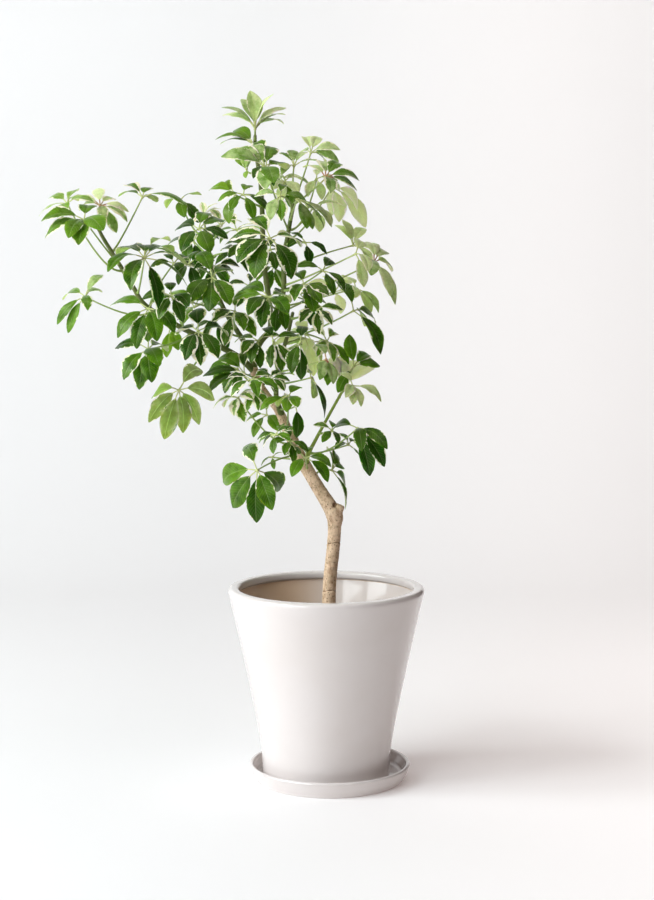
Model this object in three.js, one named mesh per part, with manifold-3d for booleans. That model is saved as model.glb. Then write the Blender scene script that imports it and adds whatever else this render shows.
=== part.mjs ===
// Potted umbrella plant in a tapered glazed pot on its saucer.
// Millimetres, +Z up. The origin is on the saucer's flat underside, below the pot's axis. -Y is the front.
import * as THREE from "three";
import { mergeVertices } from "three/addons/utils/BufferGeometryUtils.js";
import Module from "manifold-3d";

const wasm = await Module();
wasm.setup();

// Saucer
const SAUCER_OFFSET_X = 4.8; // the pot stands a little left of the saucer's middle
const SAUCER_RIM_RADIUS = 118;
const SAUCER_BASE_RADIUS = 109;
const SAUCER_HEIGHT = 24.5;
const SAUCER_WALL = 6;
const SAUCER_FLOOR = 5.7;
const SAUCER_ROUND = 3; // rounding of the rim, and of the corner between wall and floor
const SAUCER_BELLY = new THREE.Vector2(113.5, 10); // outer radius and height where the wall turns up

// Pot
const REST_GAP = 0.3; // left between pieces that rest on each other
const POT_FOOT_Z = SAUCER_FLOOR + REST_GAP;
const POT_RIM_Z = 285;
const POT_RIM_RADIUS = 142.5;
const POT_FOOT_RADIUS = 93;
const POT_WAIST_LOW = new THREE.Vector2(96.5, 56); // outer radius and height where the flare starts
const POT_WAIST_MID = new THREE.Vector2(113.4, 146);
const POT_WAIST_HIGH = new THREE.Vector2(132.7, 235);
const POT_RIM_WIDTH = 16;
const POT_RIM_BAND = 11; // height of the thick band inside the rim
const POT_WALL = 10;
const POT_FLOOR = 12;
const POT_FOOT_RECESS = 3;
const POT_FOOT_RING = 14;
const POT_FOOT_ROUND = 2;
const POT_RIM_ROUND = 6;
const POT_FLOOR_ROUND = 6;
const DRAIN_HOLE_RADIUS = 11;

// Soil
const SOIL_TOP_Z = 217;
const SOIL_MOUND = 5;
const TRUNK_X = 3;
const TRUNK_RADIUS = 9.4;
const TRUNK_BOTTOM_Z = 120;

// Round pieces
const RING_STEPS = 28;
const SOIL_STEPS = 28;
const STEM_SIDES = 8;
const SHOOT_SIDES = 6;

// The eye in front of the plant that the outline of the crown is given for
const EYE_DISTANCE = 2700;
const EYE_HEIGHT = 772;

// Leaf parts
const PETIOLE_BASE_RADIUS = 1.7;
const PETIOLE_TIP_RADIUS = 1.2;
const PETIOLE_SIDES = 3;
const PETIOLE_STEPS = 4;
const PETIOLE_SEAT = 0.5; // room between a petiole's flat end and the faceted shoot that bears it
const PETIOLE_SWEEP = 0.28; // share of its length over which a petiole still leaves its shoot squarely
const HUB_RADIUS = 3.4;
const LEAFLET_WIDTH = 0.4; // share of the leaflet's length
const LEAFLET_STALK = 1.1; // half the width of the leaflet's own stalk
const LEAFLET_THICKNESS = 1.5; // at the midrib
const LEAFLET_ARCH = 0.07; // rise of the midrib's middle, as a share of the length
const LEAFLET_BOW = 0.1; // how far a leaflet bows upwards before its tip hangs, by its length
const LEAFLET_DROOP = -0.2; // sine of the angle that leaflets hang below the leaf's own plane
const ADDED_LEAFLET = 0.88; // length of a leaflet that fills a gap, as a share of the leaf's usual one
const STALK_SHARE = 0.17; // share of the length that is the leaflet's stalk
const ROOT_SHARE = 0.01; // where a leaflet's root begins, inside the hub
const SUNK_SHARE = 0.4; // how deep in its shoot a young petiole begins, as a share of the shoot's radius
// Share of the length, and half width as a share of the full width, from the stalk's end towards the tip
const OUTLINE = [
  [0.4, 0.38],
  [0.64, 0.5],
  [0.87, 0.3],
];
const SHORT_OUTLINE = [
  [0.44, 0.44],
  [0.77, 0.45],
];
const SHORT_LEAFLET = 62; // leaflets under this length have the simpler outline

// Room between leaves
const LEAF_CLEARANCE = 5.6;
const STEM_CLEARANCE = 2.6;
const SAMPLE_STEP = 4;
const PETIOLE_BASE_FREE = 14; // length next to the shoot that isn't tested
const NODE_STEPS = 12; // steps in each stretch of a shoot where petioles may sit
const CROWD_STEPS = 5; // steps in each stretch of a shoot that leaves keep clear of
const DEPTH_SHIFTS = [0, -10, 10, -20, 20, -30, 30, -40, 40, -52, 52, -64, 64, -78, 78, -92, 92];

// Colours
const GLAZE = { color: 0xe9e6e2, roughness: 0.25, metalness: 0 };
const BARK = { color: 0xb39a7c, roughness: 0.85, metalness: 0 };
const EARTH = { color: 0x4a3626, roughness: 0.95, metalness: 0 };
const LEAF_GREEN = { color: 0x3f7a22, roughness: 0.4, metalness: 0 };

// A point of the crown, from where the eye sees it on the upright plane through the pot's axis, and its depth
function seen(x, z, y) {
  const scale = 1 + y / EYE_DISTANCE;
  return new THREE.Vector3(x * scale, y, EYE_HEIGHT + (z - EYE_HEIGHT) * scale);
}

// Shoots: x and z as seen, depth y, radius
const SHOOTS = {
  trunk: [
    [TRUNK_X, TRUNK_BOTTOM_Z, 0, TRUNK_RADIUS], [TRUNK_X, SOIL_TOP_Z, 0, TRUNK_RADIUS],
    [5, 290, 0, 9], [10, 340, 0, 8.8], [12, 372, 1, 9.2],
    [12, 389, 1, 11.6], [4, 404, 2, 10.2], [-6, 420, 3, 9], [-17, 438, 4, 8.6], [-28, 457, 4, 8.5],
    [-38, 475, 4, 8.3], [-48, 497, 5, 8], [-57, 515, 6, 7], [-63, 530, 7, 6.2], [-72, 547, 8, 5.6],
    [-85, 562, 9, 5.4], [-97, 580, 10, 5.4], [-104, 600, 10, 5.8],
  ],
  left: [
    [-103, 597, 10, 4.8], [-125, 618, 4, 4.2], [-165, 640, -6, 3.8], [-210, 662, -14, 3.5],
    [-258, 692, -22, 3.2], [-277, 720, -26, 3], [-298, 755, -30, 2.8], [-318, 788, -34, 2.5],
    [-327, 806, -36, 2.2],
  ],
  top: [
    [-103, 597, 10, 5], [-105, 620, 14, 4.8], [-93, 643, 20, 4.4], [-80, 660, 24, 4], [-82, 700, 30, 3.7],
    [-90, 760, 32, 3.5], [-91, 815, 30, 3.3], [-93, 860, 26, 3], [-97, 890, 22, 2.8], [-101, 918, 18, 2.5],
    [-101, 933, 17, 2.2],
  ],
  middle: [
    [-80, 659, 24, 3.8], [-70, 690, 8, 3.6], [-61, 715, -4, 3.4], [-61, 760, -10, 3.2], [-56, 787, -10, 3],
    [-50, 820, -6, 2.8], [-45, 842, 0, 2.5], [-41, 858, 4, 2.2],
  ],
  inner: [
    [-104, 618, 14, 4], [-124, 650, 34, 3.5], [-148, 690, 48, 3.2], [-162, 735, 54, 3], [-168, 775, 56, 2.7],
    [-173, 802, 56, 2.3],
  ],
  centre: [
    [-64, 534, 6, 4], [-72, 562, -12, 3.4], [-70, 590, -20, 3.1], [-63, 625, -24, 2.8], [-55, 652, -26, 2.5],
    [-48, 682, -28, 2.2],
  ],
  low: [
    [-30, 460, 4, 3.8], [-26, 478, -8, 2.9], [-15, 500, -13, 2.4], [0, 528, -14, 2.1], [15, 555, -12, 2],
    [24, 570, -10, 1.9], [34, 577, -9, 1.8],
  ],
};
const CUT_STUB = [[7, 386, 1, 8], [17, 397, 0, 7.4], [20, 404, 0, 6.6]]; // where a stem was cut off

// Ways that a leaf's upper side faces
const FRONT = [0, -1.1, 1.5];
const FRONT_LEFT = [-0.7, -0.9, 1.4];
const FRONT_RIGHT = [0.7, -0.9, 1.4];
const UP = [0, -0.3, 1.8];
const UP_LEFT = [-0.6, -0.3, 1.6];
const UP_RIGHT = [0.6, -0.3, 1.6];
const BACK = [0, 1.4, 1.2];
const BACK_RIGHT = [0.7, 1.1, 1.2];

// Leaves whose leaflets are broader or more slender than the usual one
const BREADTH = {
  a02: 1.15, a05: 0.94, a06: 0.75, a08: 1.1, a10: 1.2, a12: 1.15, a13: 1.25, b07: 1.2, b11: 1.12, c13: 1.1,
  e01: 0.94, e04: 0.84, e05: 0.8,
};

// Compound leaves: name, shoot, height of its node, hub as seen (x, z) and its depth, leaflet length,
// facing, leaflets added in the widest gaps, and the tips of the leaflets as seen (x, z)
const LEAVES = [
  ["a01", "left", 744, [-369, 837, -60], 44, UP_LEFT, 2,
    [[-395, 844], [-410, 819], [-377, 819], [-353, 841], [-354, 855]]],
  ["a02", "left", 752, [-345, 814, -100], 58, FRONT, 0,
    [[-407, 813], [-402, 788], [-354, 778], [-318, 799], [-368, 789], [-338, 832]]],
  ["a03", "left", 803, [-322, 834, -30], 44, FRONT, 0,
    [[-356, 842], [-327, 858], [-301, 843], [-281, 826], [-352, 828], [-283, 812], [-299, 796], [-318, 811]]],
  ["a04", "left", 768, [-262, 846, 20], 46, UP, 0,
    [[-288, 863], [-296, 846], [-250, 857], [-241, 838], [-198, 836]]],
  ["a05", "left", 712, [-260, 760, -120], 72, UP, 0,
    [[-313, 743], [-299, 766], [-281, 716], [-256, 771], [-218, 768], [-198, 716], [-198, 752], [-239, 688]]],
  ["a06", "left", 688, [-345, 705, -50], 56, FRONT, 0,
    [[-320, 738], [-322, 711], [-342, 684], [-377, 700], [-386, 665], [-371, 653]]],
  ["a07", "left", 676, [-255, 688, -80], 62, FRONT, 1,
    [[-311, 692], [-300, 646], [-273, 631], [-243, 642], [-218, 653]]],
  ["a08", "left", 655, [-256, 630, -50], 60, FRONT, 1,
    [[-291, 585], [-270, 572], [-251, 583], [-240, 606], [-229, 626], [-252, 656]]],
  ["a10", "left", 642, [-184, 656, -100], 54, FRONT, 0,
    [[-215, 652], [-183, 690], [-203, 615], [-180, 607], [-155, 617], [-140, 650]]],
  ["a12", "inner", 735, [-163, 732, -90], 58, FRONT, 0,
    [[-168, 683], [-138, 692], [-197, 698], [-137, 740], [-180, 770]]],
  ["b07", "middle", 762, [-80, 788, -130], 64, FRONT, 0,
    [[-138, 784], [-127, 752], [-103, 732], [-49, 731], [-108, 816], [-36, 777]]],
  ["e01", "trunk", 478, [-100, 455, -70], 76, [-0.2, -2, 0.6], 0,
    [[-152, 437], [-137, 400], [-101, 378], [-78, 396], [-65, 424], [-119, 488]]],
  ["e04", "left", 640, [-212, 571, -30], 70, [0, 2, 0.7], 0,
    [[-252, 560], [-256, 525], [-234, 500], [-207, 508], [-183, 522], [-160, 557], [-179, 599]]],
  ["e05", "low", 482, [45, 516, -40], 66, [-0.3, -1.2, 1.5], 0,
    [[5, 506], [51, 484], [64, 446], [88, 484], [85, 460]]],
  ["e03", "trunk", 458, [-30, 473, -60], 46, FRONT, 0,
    [[-50, 445], [2, 437], [7, 460], [-61, 477], [-25, 486]]],
  ["e07", "trunk", 444, [8, 455, 40], 60, [1.6, -0.4, 0.8], 0,
    [[20, 461], [0, 485], [27, 420], [27, 397], [13, 479]]],
  ["e06", "low", 480, [32, 492, 0], 36, UP_RIGHT, 1,
    [[52, 460], [42, 495], [17, 509]]],
  ["a11", "inner", 700, [-189, 690, 45], 54, UP_LEFT, 2,
    [[-207, 664], [-225, 712], [-160, 705]]],
  ["a13", "inner", 797, [-182, 801, -20], 50, FRONT, 1,
    [[-207, 768], [-166, 768], [-215, 799], [-168, 824], [-143, 813]]],
  ["a15", "inner", 765, [-190, 785, 95], 48, UP_LEFT, 1,
    [[-198, 751], [-178, 743], [-230, 775], [-160, 795]]],
  ["a16", "inner", 790, [-208, 842, 60], 44, UP_LEFT, 1,
    [[-182, 810], [-228, 831], [-202, 818]]],
  ["b01", "top", 929, [-101, 942, 10], 56, UP, 0,
    [[-148, 974], [-147, 963], [-120, 984], [-108, 996], [-73, 991], [-57, 973], [-57, 961], [-60, 951]]],
  ["b02", "top", 905, [-103, 920, -20], 50, UP_LEFT, 0,
    [[-131, 941], [-140, 931], [-158, 927], [-151, 921], [-89, 908]]],
  ["b03", "middle", 800, [-86, 886, -40], 62, FRONT, 0,
    [[-150, 903], [-133, 911], [-113, 916], [-78, 918], [-58, 885], [-86, 857], [-74, 866]]],
  ["b05", "top", 835, [-130, 850, -10], 46, FRONT_LEFT, 0,
    [[-168, 857], [-150, 864], [-139, 809]]],
  ["b06", "top", 845, [-118, 850, -60], 42, FRONT, 2,
    [[-103, 815], [-79, 825], [-112, 860]]],
  ["b09", "middle", 848, [-60, 874, 60], 46, UP, 2,
    [[-75, 862], [-20, 857], [-52, 835]]],
  ["b10", "middle", 825, [-66, 848, -70], 42, FRONT, 3,
    [[-80, 815], [-64, 812]]],
  ["b11", "middle", 690, [-83, 704, -110], 54, FRONT, 0,
    [[-138, 697], [-112, 680], [-93, 662], [-55, 680], [-120, 718], [-52, 697]]],
  ["c01", "middle", 856, [-46, 890, 30], 44, UP, 1,
    [[-66, 908], [-50, 914], [-20, 910], [-3, 892]]],
  ["c02", "middle", 850, [-22, 909, 90], 44, [0.3, -1.6, 1.2], 0,
    [[-32, 930], [-10, 931], [20, 913], [18, 896], [-2, 893], [-40, 902]]],
  ["c03", "middle", 838, [-1, 873, -30], 54, FRONT_RIGHT, 0,
    [[-33, 888], [-8, 897], [22, 893], [48, 871], [44, 855], [18, 856], [6, 852]]],
  ["c04", "middle", 786, [8, 861, 70], 60, BACK_RIGHT, 0,
    [[7, 820], [18, 811], [46, 828], [56, 803]]],
  ["c05", "middle", 815, [-42, 843, -90], 50, UP_RIGHT, 0,
    [[-28, 801], [-20, 800], [-4, 802], [9, 805]]],
  ["c06", "middle", 742, [38, 778, 90], 46, FRONT_RIGHT, 0,
    [[12, 808], [24, 816], [55, 802], [64, 750], [79, 767]]],
  ["c16", "middle", 722, [42, 766, -50], 50, FRONT_RIGHT, 0,
    [[53, 718], [61, 742], [50, 784]]],
  ["c07", "middle", 704, [68, 754, 10], 60, FRONT_RIGHT, 0,
    [[64, 735], [98, 693], [93, 707], [94, 742], [86, 768], [62, 782]]],
  ["c09", "middle", 690, [42, 717, 40], 50, FRONT_RIGHT, 0,
    [[36, 702], [75, 682], [63, 679], [28, 729]]],
  ["c10", "centre", 650, [39, 685, -30], 60, FRONT_RIGHT, 0,
    [[13, 728], [70, 668], [78, 622], [54, 663]]],
  ["c11", "middle", 716, [-5, 742, -70], 44, FRONT_RIGHT, 1,
    [[27, 713], [10, 707], [8, 757]]],
  ["c13", "middle", 708, [-32, 722, -112], 46, FRONT, 1,
    [[-7, 697], [-17, 683], [-46, 700], [4, 706]]],
  ["c14", "centre", 676, [-14, 686, -60], 42, FRONT, 1,
    [[-10, 652], [24, 686], [8, 664], [-38, 668]]],
  ["c17", "centre", 655, [1, 641, 0], 46, FRONT_RIGHT, 0,
    [[14, 652], [32, 608], [-26, 659], [-13, 620], [11, 613]]],
  ["c18", "middle", 674, [12, 712, 68], 48, BACK_RIGHT, 2,
    [[40, 700], [20, 680], [36, 730]]],
  ["d01", "low", 570, [39, 604, -20], 50, [0.2, -1.8, 1], 1,
    [[33, 651], [62, 621], [77, 606]]],
  ["d02", "low", 562, [25, 574, 50], 62, BACK, 0,
    [[7, 618], [21, 621], [46, 613], [70, 606]]],
  ["d03", "low", 574, [38, 577, -60], 42, FRONT_RIGHT, 1,
    [[51, 548], [80, 555], [28, 561], [38, 550]]],
  ["d04", "centre", 600, [0, 615, -100], 44, FRONT_RIGHT, 0,
    [[-9, 586], [2, 578], [-15, 637], [10, 580]]],
  ["d05", "centre", 640, [-30, 645, 20], 52, BACK, 2,
    [[-28, 622], [-18, 591]]],
  ["d06", "centre", 628, [-37, 640, -110], 52, FRONT, 1,
    [[-50, 595], [-36, 586]]],
  ["d07", "centre", 582, [-22, 589, -60], 58, [1.6, -0.8, 1], 0,
    [[-20, 560], [-2, 530], [-42, 600]]],
  ["d08", "trunk", 516, [-55, 560, -80], 44, FRONT, 0,
    [[-41, 545], [-57, 540], [-70, 548], [-96, 543], [-36, 575]]],
  ["d09", "centre", 572, [-75, 583, 60], 44, UP_LEFT, 1,
    [[-60, 570], [-112, 577], [-101, 562], [-113, 592]]],
  ["d10", "trunk", 588, [-118, 595, -60], 58, FRONT_LEFT, 0,
    [[-172, 567], [-145, 568], [-155, 617], [-178, 591], [-112, 632]]],
  ["d11", "trunk", 497, [-127, 560, -10], 42, UP_LEFT, 1,
    [[-163, 544], [-147, 546], [-133, 534], [-105, 558], [-118, 525]]],
  ["d12", "trunk", 524, [-86, 535, 50], 46, FRONT_LEFT, 2,
    [[-105, 502], [-68, 512]]],
];

// Young leaves, which have grown together with their shoot in one piece
const YOUNG_LEAVES = [
  ["a09", "left", 668, [-224, 660, 30], 44, FRONT, 0, [[-230, 618], [-212, 628]]],
  ["a14", "inner", 801, [-175, 818, 50], 26, UP, 1, [[-178, 840], [-155, 838], [-150, 830]]],
  ["b04", "top", 878, [-113, 882, 30], 28, UP_LEFT, 1, [[-130, 900], [-118, 908], [-100, 902]]],
  ["c08", "middle", 780, [-30, 782, -40], 36, FRONT_RIGHT, 2, [[-25, 750], [2, 766]]],
  ["d13", "trunk", 507, [-66, 507, -30], 34, FRONT_LEFT, 2, [[-98, 495]]],
  ["e02", "trunk", 475, [-78, 474, 20], 24, UP_LEFT, 2, [[-92, 464], [-75, 456]]],
];

function material({ color, roughness, metalness }) {
  return new THREE.MeshStandardMaterial({ color, roughness, metalness });
}

// Turns a closed geometry into a solid for joining and cutting
function solidFrom(geometry) {
  const bare = geometry.index ? geometry.clone() : geometry;
  bare.deleteAttribute("normal");
  bare.deleteAttribute("uv");
  const merged = mergeVertices(bare, 1e-4);
  const mesh = new wasm.Mesh({
    numProp: 3,
    vertProperties: new Float32Array(merged.attributes.position.array),
    triVerts: new Uint32Array(merged.index.array),
  });
  return new wasm.Manifold(mesh);
}

function geometryFrom(solid) {
  const mesh = solid.getMesh();
  const geometry = new THREE.BufferGeometry();
  geometry.setAttribute("position", new THREE.BufferAttribute(mesh.vertProperties, 3));
  geometry.setIndex(new THREE.BufferAttribute(mesh.triVerts, 1));
  return geometry;
}

function indexedGeometry(points, triangles) {
  const geometry = new THREE.BufferGeometry().setFromPoints(points);
  geometry.setIndex(triangles.flat());
  return geometry;
}

// A tube that changes its radius along a row of points, with flat ends
function taperedTube(points, radii, sides) {
  const vertices = [];
  const triangles = [];
  let across = new THREE.Vector3(0, 1, 0);
  points.forEach((point, i) => {
    const ahead = points[Math.min(i + 1, points.length - 1)];
    const behind = points[Math.max(i - 1, 0)];
    const tangent = ahead.clone().sub(behind).normalize();
    across = across.clone().addScaledVector(tangent, -across.dot(tangent)).normalize();
    const other = tangent.clone().cross(across);
    for (let k = 0; k < sides; k += 1) {
      const angle = (2 * Math.PI * k) / sides;
      vertices.push(point.clone()
        .addScaledVector(across, radii[i] * Math.cos(angle))
        .addScaledVector(other, radii[i] * Math.sin(angle)));
    }
  });
  for (let i = 0; i + 1 < points.length; i += 1) {
    for (let k = 0; k < sides; k += 1) {
      const a = i * sides + k;
      const b = i * sides + ((k + 1) % sides);
      triangles.push([a, b, b + sides], [a, b + sides, a + sides]);
    }
  }
  const last = (points.length - 1) * sides;
  for (let k = 1; k + 1 < sides; k += 1) {
    triangles.push([0, k + 1, k], [last, last + k, last + k + 1]);
  }
  return indexedGeometry(vertices, triangles);
}

function latheSolid(profile, steps) {
  return solidFrom(new THREE.LatheGeometry(profile.map(([r, z]) => new THREE.Vector2(r, z)), steps)
    .rotateX(Math.PI / 2));
}

// Outer radius of the pot at a height, by straight stretches between its measured levels
function potRadius(z) {
  const levels = [
    new THREE.Vector2(POT_FOOT_RADIUS, POT_FOOT_Z + POT_FOOT_ROUND),
    POT_WAIST_LOW,
    POT_WAIST_MID,
    POT_WAIST_HIGH,
    new THREE.Vector2(POT_RIM_RADIUS, POT_RIM_Z - POT_RIM_ROUND),
  ];
  const upper = Math.max(1, levels.findIndex((level) => level.y >= z));
  const [a, b] = [levels[upper - 1], levels[upper]];
  return THREE.MathUtils.lerp(a.x, b.x, THREE.MathUtils.clamp((z - a.y) / (b.y - a.y), 0, 1));
}

function saucer() {
  const inner = SAUCER_RIM_RADIUS - SAUCER_WALL;
  const innerFloor = SAUCER_BASE_RADIUS - SAUCER_WALL + 1;
  const round = SAUCER_ROUND;
  const profile = [
    [0, 0], [SAUCER_BASE_RADIUS - round / 2, 0], [SAUCER_BASE_RADIUS, round / 2],
    [SAUCER_BELLY.x, SAUCER_BELLY.y], [SAUCER_RIM_RADIUS, SAUCER_HEIGHT - round],
    [SAUCER_RIM_RADIUS - round / 2, SAUCER_HEIGHT - round / 5],
    [SAUCER_RIM_RADIUS - round, SAUCER_HEIGHT], [inner + round / 2, SAUCER_HEIGHT - round / 5],
    [inner, SAUCER_HEIGHT - round], [innerFloor + round, SAUCER_FLOOR + round], [innerFloor, SAUCER_FLOOR],
    [0, SAUCER_FLOOR],
  ];
  return latheSolid(profile, RING_STEPS).translate([SAUCER_OFFSET_X, 0, 0]);
}

// The pot's outer and inner faces, the thick band inside the rim, the foot ring and the drain hole
function pot() {
  const rimInner = POT_RIM_RADIUS - POT_RIM_WIDTH;
  const bandBottom = POT_RIM_Z - POT_RIM_BAND;
  const ringInner = POT_FOOT_RADIUS - POT_FOOT_RING;
  const floorTop = POT_FOOT_Z + POT_FLOOR;
  const recess = POT_FOOT_Z + POT_FOOT_RECESS;
  const undercut = bandBottom - POT_RIM_WIDTH + POT_WALL;
  const floorCorner = floorTop + POT_FLOOR_ROUND;
  const round = POT_RIM_ROUND;
  const profile = [
    [DRAIN_HOLE_RADIUS, recess], [ringInner, recess], [ringInner + POT_FOOT_ROUND, POT_FOOT_Z],
    [POT_FOOT_RADIUS - POT_FOOT_ROUND, POT_FOOT_Z], [POT_FOOT_RADIUS, POT_FOOT_Z + POT_FOOT_ROUND],
    ...[POT_WAIST_LOW, POT_WAIST_MID, POT_WAIST_HIGH].map((level) => [level.x, level.y]),
    [POT_RIM_RADIUS, POT_RIM_Z - round], [POT_RIM_RADIUS - round / 6, POT_RIM_Z - round / 2],
    [POT_RIM_RADIUS - round / 2, POT_RIM_Z - round / 8], [POT_RIM_RADIUS - round, POT_RIM_Z],
    [rimInner + round / 2, POT_RIM_Z - round / 8], [rimInner, POT_RIM_Z - round / 2], [rimInner, bandBottom],
    [potRadius(undercut) - POT_WALL, undercut],
    ...[POT_WAIST_HIGH, POT_WAIST_MID, POT_WAIST_LOW].map((level) => [level.x - POT_WALL, level.y]),
    [potRadius(floorCorner) - POT_WALL, floorCorner],
    [potRadius(floorTop) - POT_WALL - POT_FLOOR_ROUND, floorTop],
    [DRAIN_HOLE_RADIUS, floorTop],
  ];
  return latheSolid([...profile, profile[0]], RING_STEPS);
}

function soil() {
  const floorTop = POT_FOOT_Z + POT_FLOOR + REST_GAP;
  const corner = POT_FLOOR_ROUND + 1;
  const facet = Math.cos(Math.PI / RING_STEPS); // the pot's wall is faceted, and nearest mid-facet
  const wall = (z) => (potRadius(z) - POT_WALL) * facet - 2 * REST_GAP;
  const profile = [
    [0, floorTop], [wall(floorTop) - corner, floorTop], [wall(floorTop + corner), floorTop + corner],
    [wall(POT_WAIST_LOW.y), POT_WAIST_LOW.y], [wall(POT_WAIST_MID.y), POT_WAIST_MID.y],
    [wall(SOIL_TOP_Z), SOIL_TOP_Z], [wall(SOIL_TOP_Z) / 2, SOIL_TOP_Z + SOIL_MOUND * 0.75],
    [0, SOIL_TOP_Z + SOIL_MOUND],
  ];
  const radius = (TRUNK_RADIUS + REST_GAP) / Math.cos(Math.PI / STEM_SIDES);
  const bottom = new THREE.Vector3(TRUNK_X, 0, TRUNK_BOTTOM_Z - REST_GAP);
  const top = new THREE.Vector3(TRUNK_X, 0, SOIL_TOP_Z + 2 * SOIL_MOUND);
  const hole = taperedTube([bottom, top], [radius, radius], STEM_SIDES);
  return latheSolid(profile, SOIL_STEPS).subtract(solidFrom(hole));
}

// Points and radii along a shoot, in steps of each straight stretch between its rows
function shootLine(rows, steps) {
  const line = [];
  for (let row = 0; row + 1 < rows.length; row += 1) {
    const [from, to] = [rows[row], rows[row + 1]].map(([x, z, y]) => seen(x, z, y));
    for (let i = row ? 1 : 0; i <= steps; i += 1) {
      const radius = THREE.MathUtils.lerp(rows[row][3], rows[row + 1][3], i / steps);
      line.push({ point: from.clone().lerp(to, i / steps), radius });
    }
  }
  return line;
}

function shootSolid(rows, sides) {
  const line = shootLine(rows, 1);
  return solidFrom(taperedTube(line.map((s) => s.point), line.map((s) => s.radius), sides));
}

// Where a petiole leaves its shoot: the centre line's point at a height, its radius and direction
function nodeOn(shootName, height) {
  const line = shootLine(SHOOTS[shootName], NODE_STEPS);
  let best = 1;
  line.forEach((step, i) => {
    const nearer = Math.abs(step.point.z - height) < Math.abs(line[best].point.z - height);
    if (nearer && i > 0 && i < line.length - 1) best = i;
  });
  const tangent = line[best + 1].point.clone().sub(line[best - 1].point).normalize();
  return { point: line[best].point, radius: line[best].radius, tangent };
}

// The petiole's centre line, which leaves the shoot squarely and sweeps to the hub
function petioleLine(node, hub, sunk) {
  const away = hub.clone().sub(node.point);
  const out = away.clone().addScaledVector(node.tangent, -away.dot(node.tangent)).normalize();
  const start = sunk ? node.radius * SUNK_SHARE : node.radius + PETIOLE_SEAT;
  const from = node.point.clone().addScaledVector(out, start);
  const bend = from.clone().addScaledVector(out, away.length() * PETIOLE_SWEEP);
  return new THREE.QuadraticBezierCurve3(from, bend, hub).getPoints(PETIOLE_STEPS);
}

// A leaflet's tip: seen at x, z, its depth follows from its length and the side that suits the leaf's plane
function tipFor(hub, facing, size, [x, z]) {
  const level = seen(x, z, hub.y);
  const across = Math.hypot(level.x - hub.x, level.z - hub.z);
  const deep = Math.sqrt(Math.max(0, size * size - across * across));
  const error = (tip) => Math.abs(tip.clone().sub(hub).normalize().dot(facing) - LEAFLET_DROOP);
  const near = seen(x, z, hub.y - deep);
  const far = seen(x, z, hub.y + deep);
  return error(near) <= error(far) ? near : far;
}

// Tips for the leaflets that fill the widest gaps in the ring
function addedTips(hub, facing, size, tips, count) {
  const first = new THREE.Vector3(1, 0, 0).addScaledVector(facing, -facing.x).normalize();
  const second = facing.clone().cross(first);
  const angleOf = (tip) => {
    const arm = tip.clone().sub(hub);
    return Math.atan2(arm.dot(second), arm.dot(first));
  };
  const all = [...tips];
  for (let i = 0; i < count; i += 1) {
    const angles = all.map(angleOf).sort((a, b) => a - b);
    const gaps = angles.map((angle, k) => {
      const next = k + 1 < angles.length ? angles[k + 1] : angles[0] + 2 * Math.PI;
      return { width: next - angle, middle: (angle + next) / 2 };
    });
    const widest = gaps.reduce((a, b) => (b.width > a.width ? b : a));
    const arm = first.clone().multiplyScalar(Math.cos(widest.middle))
      .addScaledVector(second, Math.sin(widest.middle))
      .addScaledVector(facing, LEAFLET_DROOP).normalize();
    all.push(hub.clone().addScaledVector(arm, size * ADDED_LEAFLET));
  }
  return all;
}

// All that places one leaf: its hub, petiole and leaflets
function leafPlan([name, shoot, height, [x, z, y], size, facing, added, seenTips], shift, sunk) {
  const hub = seen(x, z, y + shift);
  const face = new THREE.Vector3(...facing).normalize();
  const tips = seenTips.map((tip) => tipFor(hub, face, size, tip));
  const breadth = LEAFLET_WIDTH * (BREADTH[name] ?? 1);
  const leaflets = addedTips(hub, face, size, tips, added).map((tip) => {
    const along = tip.clone().sub(hub);
    const length = along.length();
    along.normalize();
    const up = face.clone().addScaledVector(along, -face.dot(along)).normalize();
    const lift = new THREE.Vector3(0, 0, 1).addScaledVector(along, -along.z);
    return { hub, along, up, lift, length, side: along.clone().cross(up), width: length * breadth };
  });
  return { name, hub, leaflets, petiole: petioleLine(nodeOn(shoot, height), hub, sunk) };
}

// A point of a leaflet, from its share of the length, of the side and of the thickness
function leafletPoint(leaflet, share, side, rise) {
  const bend = leaflet.length * 4 * share * (1 - share);
  return leaflet.hub.clone()
    .addScaledVector(leaflet.along, share * leaflet.length)
    .addScaledVector(leaflet.up, LEAFLET_ARCH * bend + rise)
    .addScaledVector(leaflet.lift, LEAFLET_BOW * bend)
    .addScaledVector(leaflet.side, side);
}

function outlineOf(leaflet) {
  return leaflet.length < SHORT_LEAFLET ? SHORT_OUTLINE : OUTLINE;
}

// A leaflet with its stalk: flat below, ridged along the midrib above, arched from hub to tip
function leafletSolid(leaflet) {
  const rows = [
    [ROOT_SHARE, LEAFLET_STALK, LEAFLET_STALK],
    [STALK_SHARE, LEAFLET_STALK, LEAFLET_STALK],
    ...outlineOf(leaflet).map(([share, half]) => [share, half * leaflet.width, LEAFLET_THICKNESS]),
  ];
  const points = rows.flatMap(([share, half, rise]) => [
    leafletPoint(leaflet, share, -half, 0),
    leafletPoint(leaflet, share, half, 0),
    leafletPoint(leaflet, share, 0, rise),
  ]);
  points.push(leafletPoint(leaflet, 1, 0, 0));
  const triangles = [[0, 1, 2]];
  for (let row = 0; row + 1 < rows.length; row += 1) {
    const [left, right, ridge] = [3 * row, 3 * row + 1, 3 * row + 2];
    triangles.push([ridge, right, right + 3], [ridge, right + 3, ridge + 3]);
    triangles.push([left, ridge, ridge + 3], [left, ridge + 3, left + 3]);
    triangles.push([left, left + 3, right + 3], [left, right + 3, right]);
  }
  const tip = points.length - 1;
  const [left, right, ridge] = [tip - 3, tip - 2, tip - 1];
  triangles.push([ridge, right, tip], [left, ridge, tip], [left, tip, right]);
  return solidFrom(indexedGeometry(points, triangles));
}

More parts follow.
